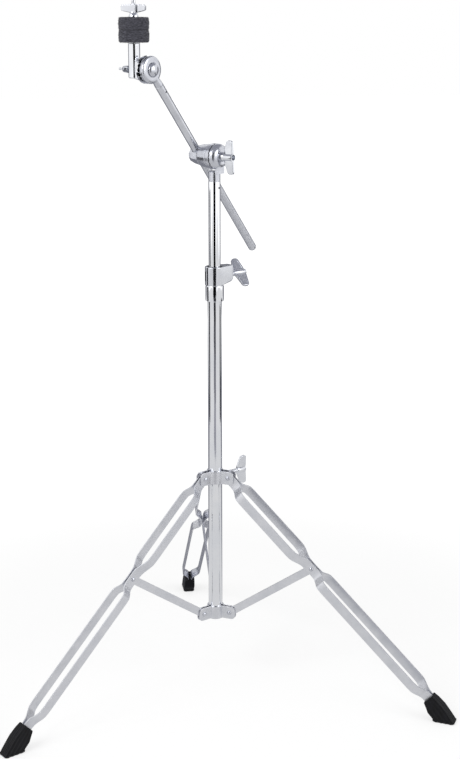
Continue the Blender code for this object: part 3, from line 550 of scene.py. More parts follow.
def slab(outline: list[Vector], far: Move, edge: float = 0.9) -> BMesh:
    """Thickens a flat outline and rounds the edges of its two faces.

    Args:
        outline: Corners of the near face, in metres.
        far: Where the far face has each of those corners.
        edge: Width of the rounded edges, in millimetres.

    Returns:
        The closed slab.
    """
    mesh = bmesh.new()
    face = mesh.faces.new([mesh.verts.new(point) for point in outline])
    grown = bmesh.ops.extrude_face_region(mesh, geom=[face])
    for item in grown["geom"]:
        if isinstance(item, BMVert):
            item.co = far(item.co)
    bmesh.ops.recalc_face_normals(mesh, faces=mesh.faces)
    sides = [face for face in mesh.faces if len(face.verts) > WALL_CORNERS]
    round_over(mesh, list({rim for face in sides for rim in face.edges}), edge)
    return mesh


def eased_copy(
    node: str, finish: Finish, edge: float, rim: Finish | None = None, drawn: Move | None = None
) -> None:
    """Stands a copy of a CAD node in its place, with its crisp edges broken so that they catch the light.

    Args:
        node: The CAD node.
        finish: The copy's finish.
        edge: Width of the broken edges, in millimetres.
        rim: Finish of the broken edges, where it isn't the copy's; a lighter one paints a thin highlight
            along each edge.
        drawn: Where each corner goes, if the copy is drawn to another shape.
    """
    mesh = bmesh.new()
    mesh.from_mesh(frame["nodes"][node].data)
    bmesh.ops.remove_doubles(mesh, verts=mesh.verts, dist=MERGE_DISTANCE)
    bmesh.ops.dissolve_limit(mesh, angle_limit=FLAT_ANGLE, verts=mesh.verts, edges=mesh.edges)
    crisp = [e for e in mesh.edges if len(e.link_faces) == 2 and e.calc_face_angle(0.0) > CRISP_ANGLE]
    if drawn:
        for vert in mesh.verts:
            vert.co = drawn(vert.co)
    bmesh.ops.bevel(
        mesh, geom=crisp, offset=edge * MM, segments=2, profile=0.5, affect="EDGES", clamp_overlap=True,
        material=1 if rim else -1,
    )
    finishes = [finish, rim] if rim else [finish]
    stand_in(node, "finished", settled(mesh, sharp=50.0), *finishes)


# Node trees for what repeats

# Height of a thread's ridge, as a part of its pitch
THREAD_DEPTH = 0.28


@dataclass(frozen=True)
class Tree:
    """A geometry tree with named inputs."""

    group: NodeTree

    def grow(self, mesh: Mesh, finish: Finish, **sizes: float) -> Mesh:
        """Runs the tree on a mesh and gives the result as a plain mesh.

        Args:
            mesh: What the tree starts from.
            finish: The finish of what it makes.
            **sizes: The tree's inputs, with underscores for spaces.

        Returns:
            A plain mesh.
        """
        carrier = placed("carrier", mesh)
        modifier = carrier.modifiers.new("shape", "NODES")
        modifier.node_group = self.group
        values = {"material": PALETTE[finish], **sizes}
        for socket in self.group.interface.items_tree:
            key = socket.name.lower().replace(" ", "_")
            if socket.in_out == "INPUT" and key in values:
                modifier[socket.identifier] = values[key]
        return modified(carrier)


def new_tree(name: str, *sizes: str) -> tuple[NodeTree, Node]:
    """Starts a geometry tree.

    Args:
        name: The tree's name.
        *sizes: Names of its number inputs.

    Returns:
        The tree and its input node.
    """
    tree = bpy.data.node_groups.new(name, "GeometryNodeTree")
    tree.interface.new_socket("Geometry", in_out="INPUT", socket_type="NodeSocketGeometry")
    for size in sizes:
        tree.interface.new_socket(size, in_out="INPUT", socket_type="NodeSocketFloat")
    tree.interface.new_socket("Material", in_out="INPUT", socket_type="NodeSocketMaterial")
    tree.interface.new_socket("Geometry", in_out="OUTPUT", socket_type="NodeSocketGeometry")
    return tree, add_node(tree, "NodeGroupInput")


def close_tree(tree: NodeTree, source: Node, shape: NodeSocket) -> Tree:
    """Ends a tree in Realize Instances and Set Material.

    Args:
        tree: The tree.
        source: Its input node.
        shape: What it has made.

    Returns:
        The finished tree.
    """
    real = add_node(tree, "GeometryNodeRealizeInstances", {"Geometry": shape})
    dressed = add_node(tree, "GeometryNodeSetMaterial", {
        "Geometry": real.outputs["Geometry"], "Material": source.outputs["Material"],
    })
    add_node(tree, "NodeGroupOutput", {"Geometry": dressed.outputs["Geometry"]})
    return Tree(tree)


def close_on_points(tree: NodeTree, source: Node, shape: NodeSocket) -> Tree:
    """Ends a tree by standing a shape on every point, along the point's facing attribute.

    Args:
        tree: The tree.
        source: Its input node, which gives the points.
        shape: What stands on them.

    Returns:
        The finished tree.
    """
    facing = add_node(tree, "GeometryNodeInputNamedAttribute", {"Name": "facing"}, data_type="FLOAT_VECTOR")
    turn = add_node(tree, "FunctionNodeAlignRotationToVector", {
        "Vector": facing.outputs["Attribute"],
    }, axis="Z")
    standing = add_node(tree, "GeometryNodeInstanceOnPoints", {
        "Points": source.outputs["Geometry"], "Instance": shape, "Rotation": turn.outputs["Rotation"],
    })
    return close_tree(tree, source, standing.outputs["Instances"])


def thread_tree() -> Tree:
    """Helical ridge of a screw thread along Z, from Rotations, Radius, Height and Depth.

    Returns:
        The tree.
    """
    tree, source = new_tree("screw thread", "Rotations", "Radius", "Height", "Depth")
    spiral = add_node(tree, "GeometryNodeCurveSpiral", {
        "Resolution": 28, "Rotations": source.outputs["Rotations"], "Height": source.outputs["Height"],
        "Start Radius": source.outputs["Radius"], "End Radius": source.outputs["Radius"],
    })
    ridge = add_node(tree, "GeometryNodeCurvePrimitiveCircle", {
        "Resolution": 4, "Radius": source.outputs["Depth"],
    })
    sweep = add_node(tree, "GeometryNodeCurveToMesh", {
        "Curve": spiral.outputs["Curve"], "Profile Curve": ridge.outputs["Curve"], "Fill Caps": True,
    })
    return close_tree(tree, source, sweep.outputs["Mesh"])


def rivet_tree() -> Tree:
    """Low dome on every point, from Radius and Flatness.

    Returns:
        The tree.
    """
    tree, source = new_tree("rivet heads", "Radius", "Flatness")
    ball = add_node(tree, "GeometryNodeMeshUVSphere", {
        "Segments": 16, "Rings": 10, "Radius": source.outputs["Radius"],
    })
    squash = add_node(tree, "ShaderNodeCombineXYZ", {"X": 1.0, "Y": 1.0, "Z": source.outputs["Flatness"]})
    dome = add_node(tree, "GeometryNodeTransform", {
        "Geometry": ball.outputs["Mesh"], "Scale": squash.outputs["Vector"],
    })
    smooth = add_node(tree, "GeometryNodeSetShadeSmooth", {"Geometry": dome.outputs["Geometry"]})
    return close_on_points(tree, source, smooth.outputs["Geometry"])


def knurl_tree() -> Tree:
    """Pyramid on every point, from Size and Height.

    Returns:
        The tree.
    """
    tree, source = new_tree("diamond knurl", "Size", "Height")
    tooth = add_node(tree, "GeometryNodeMeshCone", {
        "Vertices": 4, "Side Segments": 1, "Radius Top": 0.0, "Radius Bottom": source.outputs["Size"],
        "Depth": source.outputs["Height"],
    }, fill_type="NONE")
    return close_on_points(tree, source, tooth.outputs["Mesh"])


def nap_tree() -> Tree:
    """Loose fibres on a felt's surface, kept together with the felt, from Density, Length and Width.

    Returns:
        The tree.
    """
    tree, source = new_tree("felt nap", "Density", "Length", "Width")
    scatter = add_node(tree, "GeometryNodeDistributePointsOnFaces", {
        "Mesh": source.outputs["Geometry"], "Density": source.outputs["Density"], "Seed": 7,
    })
    fibre = add_node(tree, "GeometryNodeMeshCone", {
        "Vertices": 3, "Side Segments": 1, "Radius Top": 0.0, "Radius Bottom": source.outputs["Width"],
        "Depth": source.outputs["Length"],
    }, fill_type="NONE")
    lean = add_node(tree, "FunctionNodeRandomValue", {
        0: (-1.1, -1.1, -3.1), 1: (1.1, 1.1, 3.1), "Seed": 11,
    }, data_type="FLOAT_VECTOR")
    turn = add_node(tree, "FunctionNodeRotateRotation", {
        "Rotation": scatter.outputs["Rotation"], "Rotate By": lean.outputs["Value"],
    }, rotation_space="LOCAL")
    fibres = add_node(tree, "GeometryNodeInstanceOnPoints", {
        "Points": scatter.outputs["Points"], "Instance": fibre.outputs["Mesh"],
        "Rotation": turn.outputs["Rotation"],
    })
    both = add_node(tree, "GeometryNodeJoinGeometry", {"Geometry": fibres.outputs["Instances"]})
    tree.links.new(source.outputs["Geometry"], both.inputs["Geometry"])
    return close_tree(tree, source, both.outputs["Geometry"])


THREAD = thread_tree()
RIVETS = rivet_tree()
KNURL = knurl_tree()
NAP = nap_tree()


def facing_points(spots: list[Vector], ways: list[Vector]) -> Mesh:
    """Loose points that each face one way.

    Args:
        spots: Where the points are.
        ways: The direction that each one faces.

    Returns:
        A mesh of points with the attribute facing.
    """
    mesh = bpy.data.meshes.new("facing points")
    mesh.from_pydata(spots, [], [])
    attribute = mesh.attributes.new("facing", "FLOAT_VECTOR", "POINT")
    attribute.data.foreach_set("vector", [value for way in ways for value in way])
    return mesh


def thread_on(
    name: str, node: str, place: Matrix, radius: float, ends: tuple[float, float], pitch: float
) -> None:
    """Cuts a visible thread on a bar.

    Args:
        name: The piece's name.
        node: The bar's CAD node.
        place: The bar's frame, Z along it.
        radius: Radius of the thread's crest, in millimetres.
        ends: Where the thread starts and ends along Z, in millimetres.
        pitch: Rise of one turn.
    """
    low, high = ends
    depth = THREAD_DEPTH * pitch
    mesh = THREAD.grow(
        bpy.data.meshes.new("thread"), BRIGHT_CHROME, rotations=(high - low) / pitch,
        radius=(radius - depth) * MM, height=(high - low) * MM, depth=depth * MM,
    )
    mesh.transform(place @ Matrix.Translation((0, 0, low * MM)))
    show(name, mesh, [BRIGHT_CHROME], body_of_node(node), [])


# Wing bolts and wing nuts

# Facets round a hub
HUB_FACETS = 40
# Where a wing starts from the axis, as a part of its span
WING_START = 0.05
# How squarely a face looks across the wing to count as one of its two broad ones
BROAD_FACE = 0.99
# Width of the slope round a sunk panel, and the panel's depth, in millimetres
PANEL_SLOPE = 0.35
PANEL_DEPTH = 0.5


@dataclass
class WingHead:
    """Two cast wings across X on a hub along Z, all sizes in millimetres.

    Attributes:
        node: The CAD node that it stands for.
        placement: Its frame.
        hub: Profile of the hub.
        span: Size over both wings.
        root: Where a wing starts and ends along Z at the hub.
        tip: The same at its tip.
        thickness: Thickness of the wings.
        rounding: How far from each corner of a wing its rounding starts.
        panel: Width of the border round a sunk panel, or 0 for plain wings.
        offset: How far each wing is set to one side of the axis.
        past: How far each wing runs past the axis.
    """

    node: str
    placement: Matrix
    hub: Profile
    span: float
    root: tuple[float, float]
    tip: tuple[float, float]
    thickness: float
    rounding: float
    panel: float = 0.0
    offset: float = 0.0
    past: float = 0.0

    def wing(self, side: int) -> BMesh:
        """Builds one wing, with a sunk panel on both faces where it has one.

        Args:
            side: 1 for the wing towards +X, -1 for the other.

        Returns:
            The wing.
        """
        half = self.span / 2
        inner = -self.past if self.past else self.span * WING_START
        corners = ((inner, self.root[0]), (half, self.tip[0]), (half, self.tip[1]), (inner, self.root[1]))
        front = self.thickness / 2 + side * self.offset
        outline = [Vector((side * p.x, front, p.y)) * MM for p in eased(corners, self.rounding)]
        mesh = slab(outline, lambda corner: corner - Vector((0, self.thickness * MM, 0)))
        if self.panel:
            broad = (face for face in mesh.faces if abs(face.normal.y) > BROAD_FACE)
            panels = sorted(broad, key=lambda face: face.calc_area())[-2:]
            for width, depth in ((self.panel, 0.0), (PANEL_SLOPE, -PANEL_DEPTH)):
                bmesh.ops.inset_individual(mesh, faces=panels, thickness=width * MM, depth=depth * MM)
            for face in panels:
                face.material_index = 1
        return mesh

    def build(self) -> None:
        """Builds the head as one piece in place of its CAD node."""
        whole = turned(self.hub, HUB_FACETS)
        for side in (1, -1):
            holder = working(self.wing(side))
            whole.from_mesh(holder.data)
            discard(holder)
        finishes = [CAST_CHROME, PEBBLED_CHROME] if self.panel else [BUFFED_CHROME]
        stand_in(self.node, "cast", settled(whole, self.placement), *finishes)


# Sub-assemblies


@dataclass
class Column:
    """Lower tube, height clamp and its wing bolt, and the sliding mast, sizes in millimetres."""

    lower_outer: float = 11.1
    upper_outer: float = 9.2
    wall: float = 1.2
    tube_edge: float = 0.4
    facets: int = 96
    clearance: float = 0.3
    sleeve_outer: float = 14.3
    sleeve_foot: Profile = ((-1.2, 0), (-0.35, 0.35), (0, 1.2))
    sleeve_lip: Profile = ((0, -1.6), (-0.8, -0.4), (-0.8, 0))
    bolt_radius: float = 3.8
    bolt_pitch: float = 1.25
    bolt_thread: tuple[float, float] = (14.0, 35.0)
    bolt_hub: Profile = (
        (0, 12.4), (3.5, 12.4), (3.5, 35), (4.8, 36), (5.0, 38), (5.3, 50), (5.2, 55), (4.4, 57.4), (0, 58),
    )
    wing_tilt: float = -43.0
    clamp_outer: float = 15.05
    clamp_bore: float = 12.4
    clamp_steps: int = 40
    bore_facets: int = 64
    hole_facets: int = 32
    ear_reach: float = 30.5
    ear_half_width: float = 9.0
    ear_rounding: float = 5.0
    ear_steps: int = 8
    undercut: float = 7.5
    undercut_from: float = 15.0
    key_slot_at: float = -194.0
    key_slot_width: float = 4.6
    key_slot_height: float = 15.0

    def sleeve(self) -> None:
        """Draws the plain sleeve under the clamp, with rolled edges."""
        low, high, middle = box_of("height_sleeve")
        bottom, top = low.z / MM, high.z / MM
        inner, outer = self.lower_outer + self.clearance, self.sleeve_outer
        foot = [(outer + out, bottom + rise) for out, rise in self.sleeve_foot]
        lip = [(outer + out, top + rise) for out, rise in self.sleeve_lip]
        profile = ((inner, bottom), *foot, *lip, (inner, top))
        place = Matrix.Translation((middle.x, middle.y, 0))
        stand_in("height_sleeve", "drawn", settled(turned(profile, self.facets), place), BRIGHT_CHROME)

    def wing_bolt(self) -> None:
        """Casts the height bolt's wing head and cuts its thread."""
        node = "height_wing_bolt"
        place = joint_frame("height_bolt_turn", -UP, self.wing_tilt)
        WingHead(
            node, place, self.bolt_hub, span=50, root=(36.5, 57.5), tip=(42.5, 53.5),
            thickness=4.6, rounding=4.0, panel=2.1,
        ).build()
        thread_on("height_bolt_thread", node, place, self.bolt_radius, self.bolt_thread, self.bolt_pitch)

    def clamp_plan(self) -> list[Vector]:
        """Outline of the clamp from above: a ring that runs into a blunt boss along X.

        Returns:
            The outline, in millimetres.
        """
        ring, reach, ear = self.clamp_outer, self.ear_reach, self.ear_half_width
        start = math.acos((ring - ear) / reach)
        angles = [start + (math.pi - start) * step / self.clamp_steps for step in range(self.clamp_steps + 1)]
        flank = [Vector((ring * math.cos(angle), ring * math.sin(angle))) for angle in angles]
        corners = ((ear, ear), (reach, ear), (reach, -ear), (ear, -ear))
        boss = eased(corners, self.ear_rounding, self.ear_steps)
        boss = sorted((p for p in boss if p.x > ear + self.ear_rounding), key=lambda p: p.y)
        return boss + flank + [Vector((p.x, -p.y)) for p in reversed(flank[:-1])]

    def clamp(self) -> None:
        """Casts the height clamp: a ring and boss, undercut below, with bores and a key slot in its side."""
        low, high, _ = box_of("height_clamp")
        half = (high.z - low.z) / 2 / MM
        ring, reach = self.clamp_outer, self.ear_reach

        def undercut(corner: Vector) -> Vector:
            """Takes a corner of the top face to the lower one, which rises towards the end of the boss."""
            out = max(0.0, (corner.x / MM - self.undercut_from) / (reach - self.undercut_from))
            return Vector((corner.x, corner.y, (self.undercut * out - half) * MM))

        mesh = slab([Vector((p.x, p.y, half)) * MM for p in self.clamp_plan()], undercut)
        mesh = combined(mesh, bar(self.clamp_bore, -2 * half, 2 * half, self.bore_facets), Combine.CUT)
        hole = bar(self.bolt_radius + self.clearance, 0, 2 * reach, self.hole_facets)
        hole.transform(Matrix.Rotation(math.pi / 2, 4, "Y"))
        mesh = combined(mesh, hole, Combine.CUT)
        slot = bmesh.new()
        bmesh.ops.create_cube(slot, size=1.0)
        slot.transform(
            Matrix.Rotation(math.radians(self.key_slot_at), 4, "Z")
            @ Matrix.Translation((ring * MM, 0, 0))
            @ Matrix.Diagonal((ring * MM, self.key_slot_width * MM, self.key_slot_height * MM, 1))
        )
        mesh = combined(mesh, slot, Combine.CUT)
        place, out = joint("height_bolt_turn")
        stand_in("height_clamp", "cast", settled(mesh, frame_at(place, UP, out)), BUFFED_CHROME)

    def build(self) -> None:
        """Builds the column's pieces."""
        for node, outer in (("lower_tube", self.lower_outer), ("upper_tube", self.upper_outer)):
            upright_tube(node, "drawn", outer, outer - self.wall, self.tube_edge, self.facets)
        self.sleeve()
        self.clamp()
        eased_copy("height_bush", BLACK_NYLON, edge=0.3)
        self.wing_bolt()


@dataclass
class Tripod:
    """Collar, bracket, leg strips, struts, rivets and rubber feet, sizes in millimetres.

    The bends are where a CAD strip's bends start and end down the leg, and the drawn bends are where the
    shown strip has them. Each of the foot's rings gives the part of the way down it, half its size across
    the leg and the other way, and the rounding of its corners.
    """

    plate_edge: float = 0.35
    strip_edge: float = 0.7
    rivet_radius: float = 3.3
    rivet_height: float = 1.8
    dome_cover: float = 0.15
    dome_tip: float = 0.1
    bolt_radius: float = 3.8
    bolt_pitch: float = 1.25
    bolt_thread: tuple[float, float] = (20.0, 44.5)
    bolt_hub: Profile = (
        (0, 11.4), (3.5, 11.4), (3.5, 44.5), (4.8, 45.6), (5.0, 48), (4.9, 55), (4.3, 60), (0, 61),
    )
    leg_length: float = 514.4
    leg_to_strut: float = 193.5
    pinch: float = 2.5
    loop_half: float = 15.0
    strip_thickness: float = 2.0
    loop_narrowing: float = 0.14
    right_narrowing: float = 0.08
    right_rise: tuple[float, float] = (2.8, 1.8)
    bends: tuple[float, ...] = (21.0, 46.0, 153.5, 178.5, 208.5, 233.5, 429.1, 454.1)
    drawn_bends: tuple[float, ...] = (21.0, 34.0, 158.5, 178.5, 208.5, 221.5, 436.1, 454.1)
    foot_length: float = 52.0
    sole_setback: float = 12.0
    sole_thickness: float = 4.0
    welt_at: float = 0.925
    level_from: float = 0.15
    level_over: float = 0.72
    ribs: int = 3
    rib_steps: int = 8
    rib_depth: float = 0.7
    ribs_from: float = 0.1
    ribs_over: float = 0.3
    foot_rings: tuple[tuple[float, float, float, float], ...] = (
        (0.00, 7.9, 8.9, 2.6), (0.02, 8.8, 9.8, 3.0), (0.22, 9.5, 12.0, 3.2), (0.45, 9.9, 14.2, 3.6),
        (0.68, 10.1, 16.1, 4.2), (0.86, 10.0, 17.2, 4.6), (0.915, 9.8, 17.0, 4.6), (0.925, 10.3, 17.6, 4.8),
        (0.97, 10.2, 17.5, 4.8), (1.00, 8.8, 15.8, 4.6),
    )

    def leg_frame(self, side: Side) -> tuple[Vector, Vector, Vector, Vector]:
        """Frame of a leg as it stands.

        Args:
            side: The leg.

        Returns:
            Its pivot, its hinge's axis, the direction down the leg, and the direction square to both.
        """
        pivot, tangent = joint(f"leg_{side.value}_hinge")
        radial = tangent.cross(UP).normalized()
        lean = math.acos(pivot.z / (self.leg_length * MM))
        along = radial * math.sin(lean) - UP * math.cos(lean)
        square = radial * math.cos(lean) + UP * math.sin(lean)
        return pivot, tangent, along, square

    def loop_shape(self, side: Side) -> Move:
        """Draws the loops of a leg's strips narrower and bent more sharply, and the right leg's askew.

        Args:
            side: The leg.

        Returns:
            A function that takes a corner of the CAD strip to its place.
        """
        pivot, tangent, along, square = self.leg_frame(side)
        pinched = self.pinch + self.strip_thickness / 2
        opening = self.loop_half - self.pinch - self.strip_thickness
        on_right = side is Side.RIGHT
        narrowing = self.right_narrowing if on_right else self.loop_narrowing
        upper_rise, lower_rise = self.right_rise if on_right else (0.0, 0.0)

        def drawn(corner: Vector) -> Vector:
            """Takes one corner to its place.

            Args:
                corner: The corner of the CAD strip.

            Returns:
                Where it is drawn.
            """
            offset = (corner - pivot) / MM
            down, across, height = offset.dot(along), offset.dot(tangent), offset.dot(square)
            openness = share((abs(across) - pinched) / opening)
            rise = upper_rise if down < self.leg_to_strut else lower_rise
            height = height * (1 - narrowing * openness) + math.copysign(rise, across) * openness
            spans = zip(self.bends, self.bends[1:], self.drawn_bends, self.drawn_bends[1:])
            for low, high, start, end in spans:
                if low <= down <= high:
                    down = start + (down - low) / (high - low) * (end - start)
                    break
            return pivot + (along * down + tangent * across + square * height) * MM

        return drawn

    def is_dome(self, points: list[Vector], outward: Vector) -> bool:
        """Tells whether the end of a rivet that faces outward comes to a point, as a dome does.

        Args:
            points: The rivet's corners.
            outward: The direction that the end faces.

        Returns:
            True for a dome, False for a flat end.
        """
        top = max(point.dot(outward) for point in points)
        near = [point for point in points if top - point.dot(outward) < self.dome_tip * MM]
        # Each triangle has its own corners, so those in the same place, to 0.01 mm, count as one
        return len({tuple(round(value, 5) for value in point) for point in near}) == 1

    def rivets(self, name: str, nodes: dict[str, Side]) -> None:
        """Sets rivets that ride on one body, with a smooth dome over each head.

        Args:
            name: The piece's name.
            nodes: The rivets' CAD nodes, and the leg that each is on.
        """
        whole = bmesh.new()
        spots, ways = [], []
        for node, side in nodes.items():
            mesh = frame["nodes"][node].data
            whole.from_mesh(mesh)
            points = [vert.co.copy() for vert in mesh.vertices]
            middle = box_of(node)[2]
            axis = joint(f"leg_{side.value}_hinge")[1]
            for outward in (axis, -axis):
                if self.is_dome(points, outward):
                    reach = max((point - middle).dot(outward) for point in points)
                    spots.append(middle + outward * (reach - self.rivet_height * MM))
                    ways.append(outward)
        bmesh.ops.remove_doubles(whole, verts=whole.verts, dist=MERGE_DISTANCE)
        radius = self.rivet_radius + self.dome_cover
        flatness = (self.rivet_height + self.dome_cover) / radius
        domes = RIVETS.grow(facing_points(spots, ways), CAST_CHROME, radius=radius * MM, flatness=flatness)
        whole.from_mesh(domes)
        show(name, settled(whole), [CAST_CHROME], body_of_node(next(iter(nodes))), list(nodes))

    def ribbed(self, half_across: float, half_along: float, rounding: float, depth: float) -> list[Vector]:
        """Outline of the foot at one level, with shallow grooves between ribs.

        Args:
            half_across: Half its size across the leg.
            half_along: Half its size the other way.
            rounding: How far from each corner the rounding starts.
            depth: Depth of the grooves.

        Returns:
            The outline.
        """
        signs = ((1, 1), (-1, 1), (-1, -1), (1, -1))
        path = eased(tuple((x * half_across, y * half_along) for x, y in signs), rounding)
        outline = []
        for index, point in enumerate(path):
            after = path[(index + 1) % len(path)]
            outline.append(point)
            if (after - point).length < rounding:
                continue
            inward = Vector((point.y - after.y, after.x - point.x)).normalized()
            count = self.ribs * self.rib_steps
            for step in range(1, count):
                groove = depth * (0.5 - 0.5 * math.cos(2 * math.pi * step / self.rib_steps))
                outline.append(point.lerp(after, step / count) + inward * groove)
        return outline

    def foot(self, side: Side) -> None:
        """Moulds a rubber foot: a squared sleeve that flares to a flat sole with a thin welt round it.

        Args:
            side: The leg that it is on.
        """
        pivot, tangent, along, square = self.leg_frame(side)
        radial = tangent.cross(UP).normalized()
        top = pivot + along * (self.leg_length - self.foot_length) * MM
        sole = pivot + along * self.leg_length * MM - radial * self.sole_setback * MM
        lift = UP * self.sole_thickness * MM
        mesh = bmesh.new()
        rings = []
        for part, half_across, half_along, rounding in self.foot_rings:
            blend = share((part - self.level_from) / self.level_over)
            blend = blend * blend * (3 - 2 * blend)
            direction = (square * (1 - blend) + radial * blend).normalized()
            if part <= self.welt_at:
                centre = top.lerp(sole + lift, part / self.welt_at)
            else:
                centre = sole + lift * ((1.0 - part) / (1.0 - self.welt_at))
            groove = self.rib_depth * share((part - self.ribs_from) / self.ribs_over)
            outline = self.ribbed(half_across, half_along, rounding, groove)
            rings.append([mesh.verts.new(centre + (tangent * p.x + direction * p.y) * MM) for p in outline])
        for near, far in zip(rings, rings[1:]):
            for index in range(len(near)):
                mesh.faces.new((near[index - 1], near[index], far[index], far[index - 1]))
        mesh.faces.new(rings[0])
        mesh.faces.new(rings[-1])
        bmesh.ops.recalc_face_normals(mesh, faces=mesh.faces)
        stand_in(f"foot_{side.value}", "moulded", settled(mesh, sharp=38.0), BLACK_RUBBER)

    def collar_bolt(self) -> None:
        """Casts the collar bolt's wing head and cuts its thread."""
        node = "collar_wing_bolt"
        place = joint_frame("collar_bolt_turn", -UP)
        WingHead(
            node, place, self.bolt_hub, span=46, root=(42.4, 61), tip=(51, 62), thickness=4.4, rounding=4.5,
        ).build()
        thread_on("collar_bolt_thread", node, place, self.bolt_radius, self.bolt_thread, self.bolt_pitch)

    def build(self) -> None:
        """Builds the tripod's pieces."""
        for prefix in ("collar", "bracket"):
            for part in ("front", "right", "left"):
                eased_copy(f"{prefix}_plate_{part}", STRIP_CHROME, self.plate_edge)
            self.rivets(f"{prefix}_rivets", {f"{prefix}_rivet_{side.value}": side for side in Side})
        eased_copy("collar_clench_nut", CAST_CHROME, edge=0.4)
        self.collar_bolt()
        for side in Side:
            leg = side.value
            # Strips and struts wear bright chrome on their broken edges: a clearer finish, and a colour
            # lighter than the strip's that is a painted highlight along each edge
            for strip in (f"leg_strip_{leg}_a", f"leg_strip_{leg}_b"):
                eased_copy(strip, STRIP_CHROME, self.strip_edge, BRIGHT_CHROME, self.loop_shape(side))
            eased_copy(f"strut_{leg}", STRIP_CHROME, self.strip_edge, BRIGHT_CHROME)
            self.rivets(f"strut_rivets_{leg}", {f"strut_rivet_{leg}_{half}": side for half in "ab"})
            self.foot(side)


@dataclass
class Boom:
    """Ratchet tilter, its wing nut, and the arm with its knurled tail, sizes in millimetres."""

    arm_radius: float = 6.35
    arm_wall: float = 1.6
    arm_tail: float = -212.0
    arm_mouth: float = 138.0
    arm_facets: int = 72
    mouth_edge: float = 0.4
    tail_dome: float = 5.5
    tail_plug: float = 10.0
    clearance: float = 0.3
    knurl_from: float = -204.0
    knurl_to: float = -14.0
    knurl_pitch: float = 1.2
    knurl_height: float = 0.1
    knurl_sink: float = 0.02
    nut_turn: float = 4.0
    nut_hub: Profile = (
        (4.3, 17.8), (6.5, 17.8), (6.3, 19.0), (5.4, 21.8), (5.4, 33), (5.8, 35.4), (5.2, 36.3), (4.3, 36.3),
    )
    tooth_facets: int = 36
    tooth_height: float = 1.4
    clamp_profile: Profile = (
        (4.3, -20.7), (16.2, -20.7), (16.9, -19.9), (18.4, -6.4), (18.2, -4.6), (19.0, -3.6), (19.3, -2.8),
        (19.3, 4.2), (11.5, 4.2), (11.5, 1.4), (4.3, 1.4),
    )
    clamp_teeth: tuple[int, int] = (7, 8)
    barrel_facets: int = 10
    barrel_reach: float = 30.0
    bore_facets: int = 48
    barrel_profile: Profile = (
        (0, -43.4), (8.4, -43.4), (10.6, -41.6), (14.4, -31.5), (16.6, -21.6), (15.9, -21.0), (4.0, -21.0),
        (4.0, 28.4), (3.4, 29), (0, 29),
    )
    eye_at: float = 169.0
    eye_profile: Profile = (
        (4.3, -2.8), (12, -2.8), (12, -5.6), (17.4, -5.6), (17.8, -2.6), (19.4, -1.4), (19.8, 0.2),
        (19.8, 2.2), (19.3, 3.6), (18.2, 4.6), (15.6, 5.2), (12.4, 5.5), (10.9, 5.4), (10.5, 5.0), (4.3, 5.0),
    )
    eye_teeth: tuple[int, int] = (2, 3)
    spigot_length: float = 26.0
    neck_facets: int = 48
    neck_collar: float = 2.5
    neck_taper: tuple[float, float] = (5.6, 9.0)
    neck_radius: float = 5.1
    neck_ends: tuple[float, float] = (16.0, 13.0)
    tilter_pin: tuple[float, float] = (1.6, 9.2)
    boom_pin: tuple[float, float] = (1.5, 6.35)
    pin_facets: int = 24
    pin_proud: float = 0.1
    pin_edge: float = 0.2

    def arm_frame(self) -> Matrix:
        """Frame of the arm, Z along it from the tilter to the eye.

        Returns:
            The frame as a matrix.
        """
        across, along = joint("boom_tilt")[1], joint("boom_slide")[1]
        middle = box_of("boom_arm")[2]
        tail_to_middle = (self.arm_mouth + self.arm_tail) / 2 * MM
        return frame_at(middle - along * tail_to_middle, along, across)

    def arm(self) -> None:
        """Draws the arm, closed and rounded at its tail."""
        radius, tail, mouth, edge = self.arm_radius, self.arm_tail, self.arm_mouth, self.mouth_edge
        inner, plug = radius - self.arm_wall, tail + self.tail_plug
        angles = [math.radians(angle) for angle in range(0, 91, 10)]
        dome = [(radius * math.sin(angle), tail + self.tail_dome * (1 - math.cos(angle))) for angle in angles]
        bore = ((radius - edge, mouth), (inner, mouth), (inner, plug), (0, plug))
        profile = (*dome, (radius, mouth - edge), *bore)
        mesh = settled(turned(profile, self.arm_facets), self.arm_frame())
        stand_in("boom_arm", "drawn", mesh, SATIN_CHROME)

    def knurl(self) -> None:
        """Knurls the part of the arm that the tilter grips."""
        spots, ways = [], []
        pitch = self.knurl_pitch
        around = round(2 * math.pi * self.arm_radius / pitch)
        for row in range(round((self.knurl_to - self.knurl_from) / pitch * 2)):
            height = self.knurl_from + row * pitch / 2
            for step in range(around):
                angle = 2 * math.pi * (step + 0.5 * (row % 2)) / around
                outward = Vector((math.cos(angle), math.sin(angle), 0))
                spots.append((outward * (self.arm_radius - self.knurl_sink) + UP * height) * MM)
                ways.append(outward)
        points = facing_points(spots, ways)
        mesh = KNURL.grow(points, KNURLED_CHROME, size=pitch / 2 * MM, height=self.knurl_height * MM)
        mesh.transform(self.arm_frame())
        show("boom_arm_knurl", mesh, [KNURLED_CHROME], body_of_node("boom_arm"), [])

    def wing_nut(self) -> None:
        """Casts the tilter's wing nut, open at its end where the bolt shows."""
        WingHead(
            "boom_wing_nut", joint_frame("boom_nut_turn", UP, self.nut_turn), self.nut_hub,
            span=51, root=(18.4, 36.2), tip=(26.0, 36.2), thickness=4.2, rounding=4.0,
        ).build()

    def head(self) -> None:
        """Casts the turning half of the ratchet, and the eye bolt, whose faceted barrel holds the arm."""
        place = joint_frame("boom_nut_turn", UP)
        half = turned(self.clamp_profile, self.tooth_facets, self.clamp_teeth, -self.tooth_height)
        stand_in("boom_clamp", "cast", settled(half, place), CAST_CHROME)
        barrel = turned(self.barrel_profile, self.barrel_facets)
        barrel.transform(place)
        hole = bar(self.arm_radius + self.clearance, -self.barrel_reach, self.barrel_reach, self.bore_facets)
        hole.transform(self.arm_frame())
        barrel = combined(barrel, hole, Combine.CUT)
        stand_in("boom_eye_bolt", "cast", settled(barrel, sharp=20.0), CAST_CHROME)

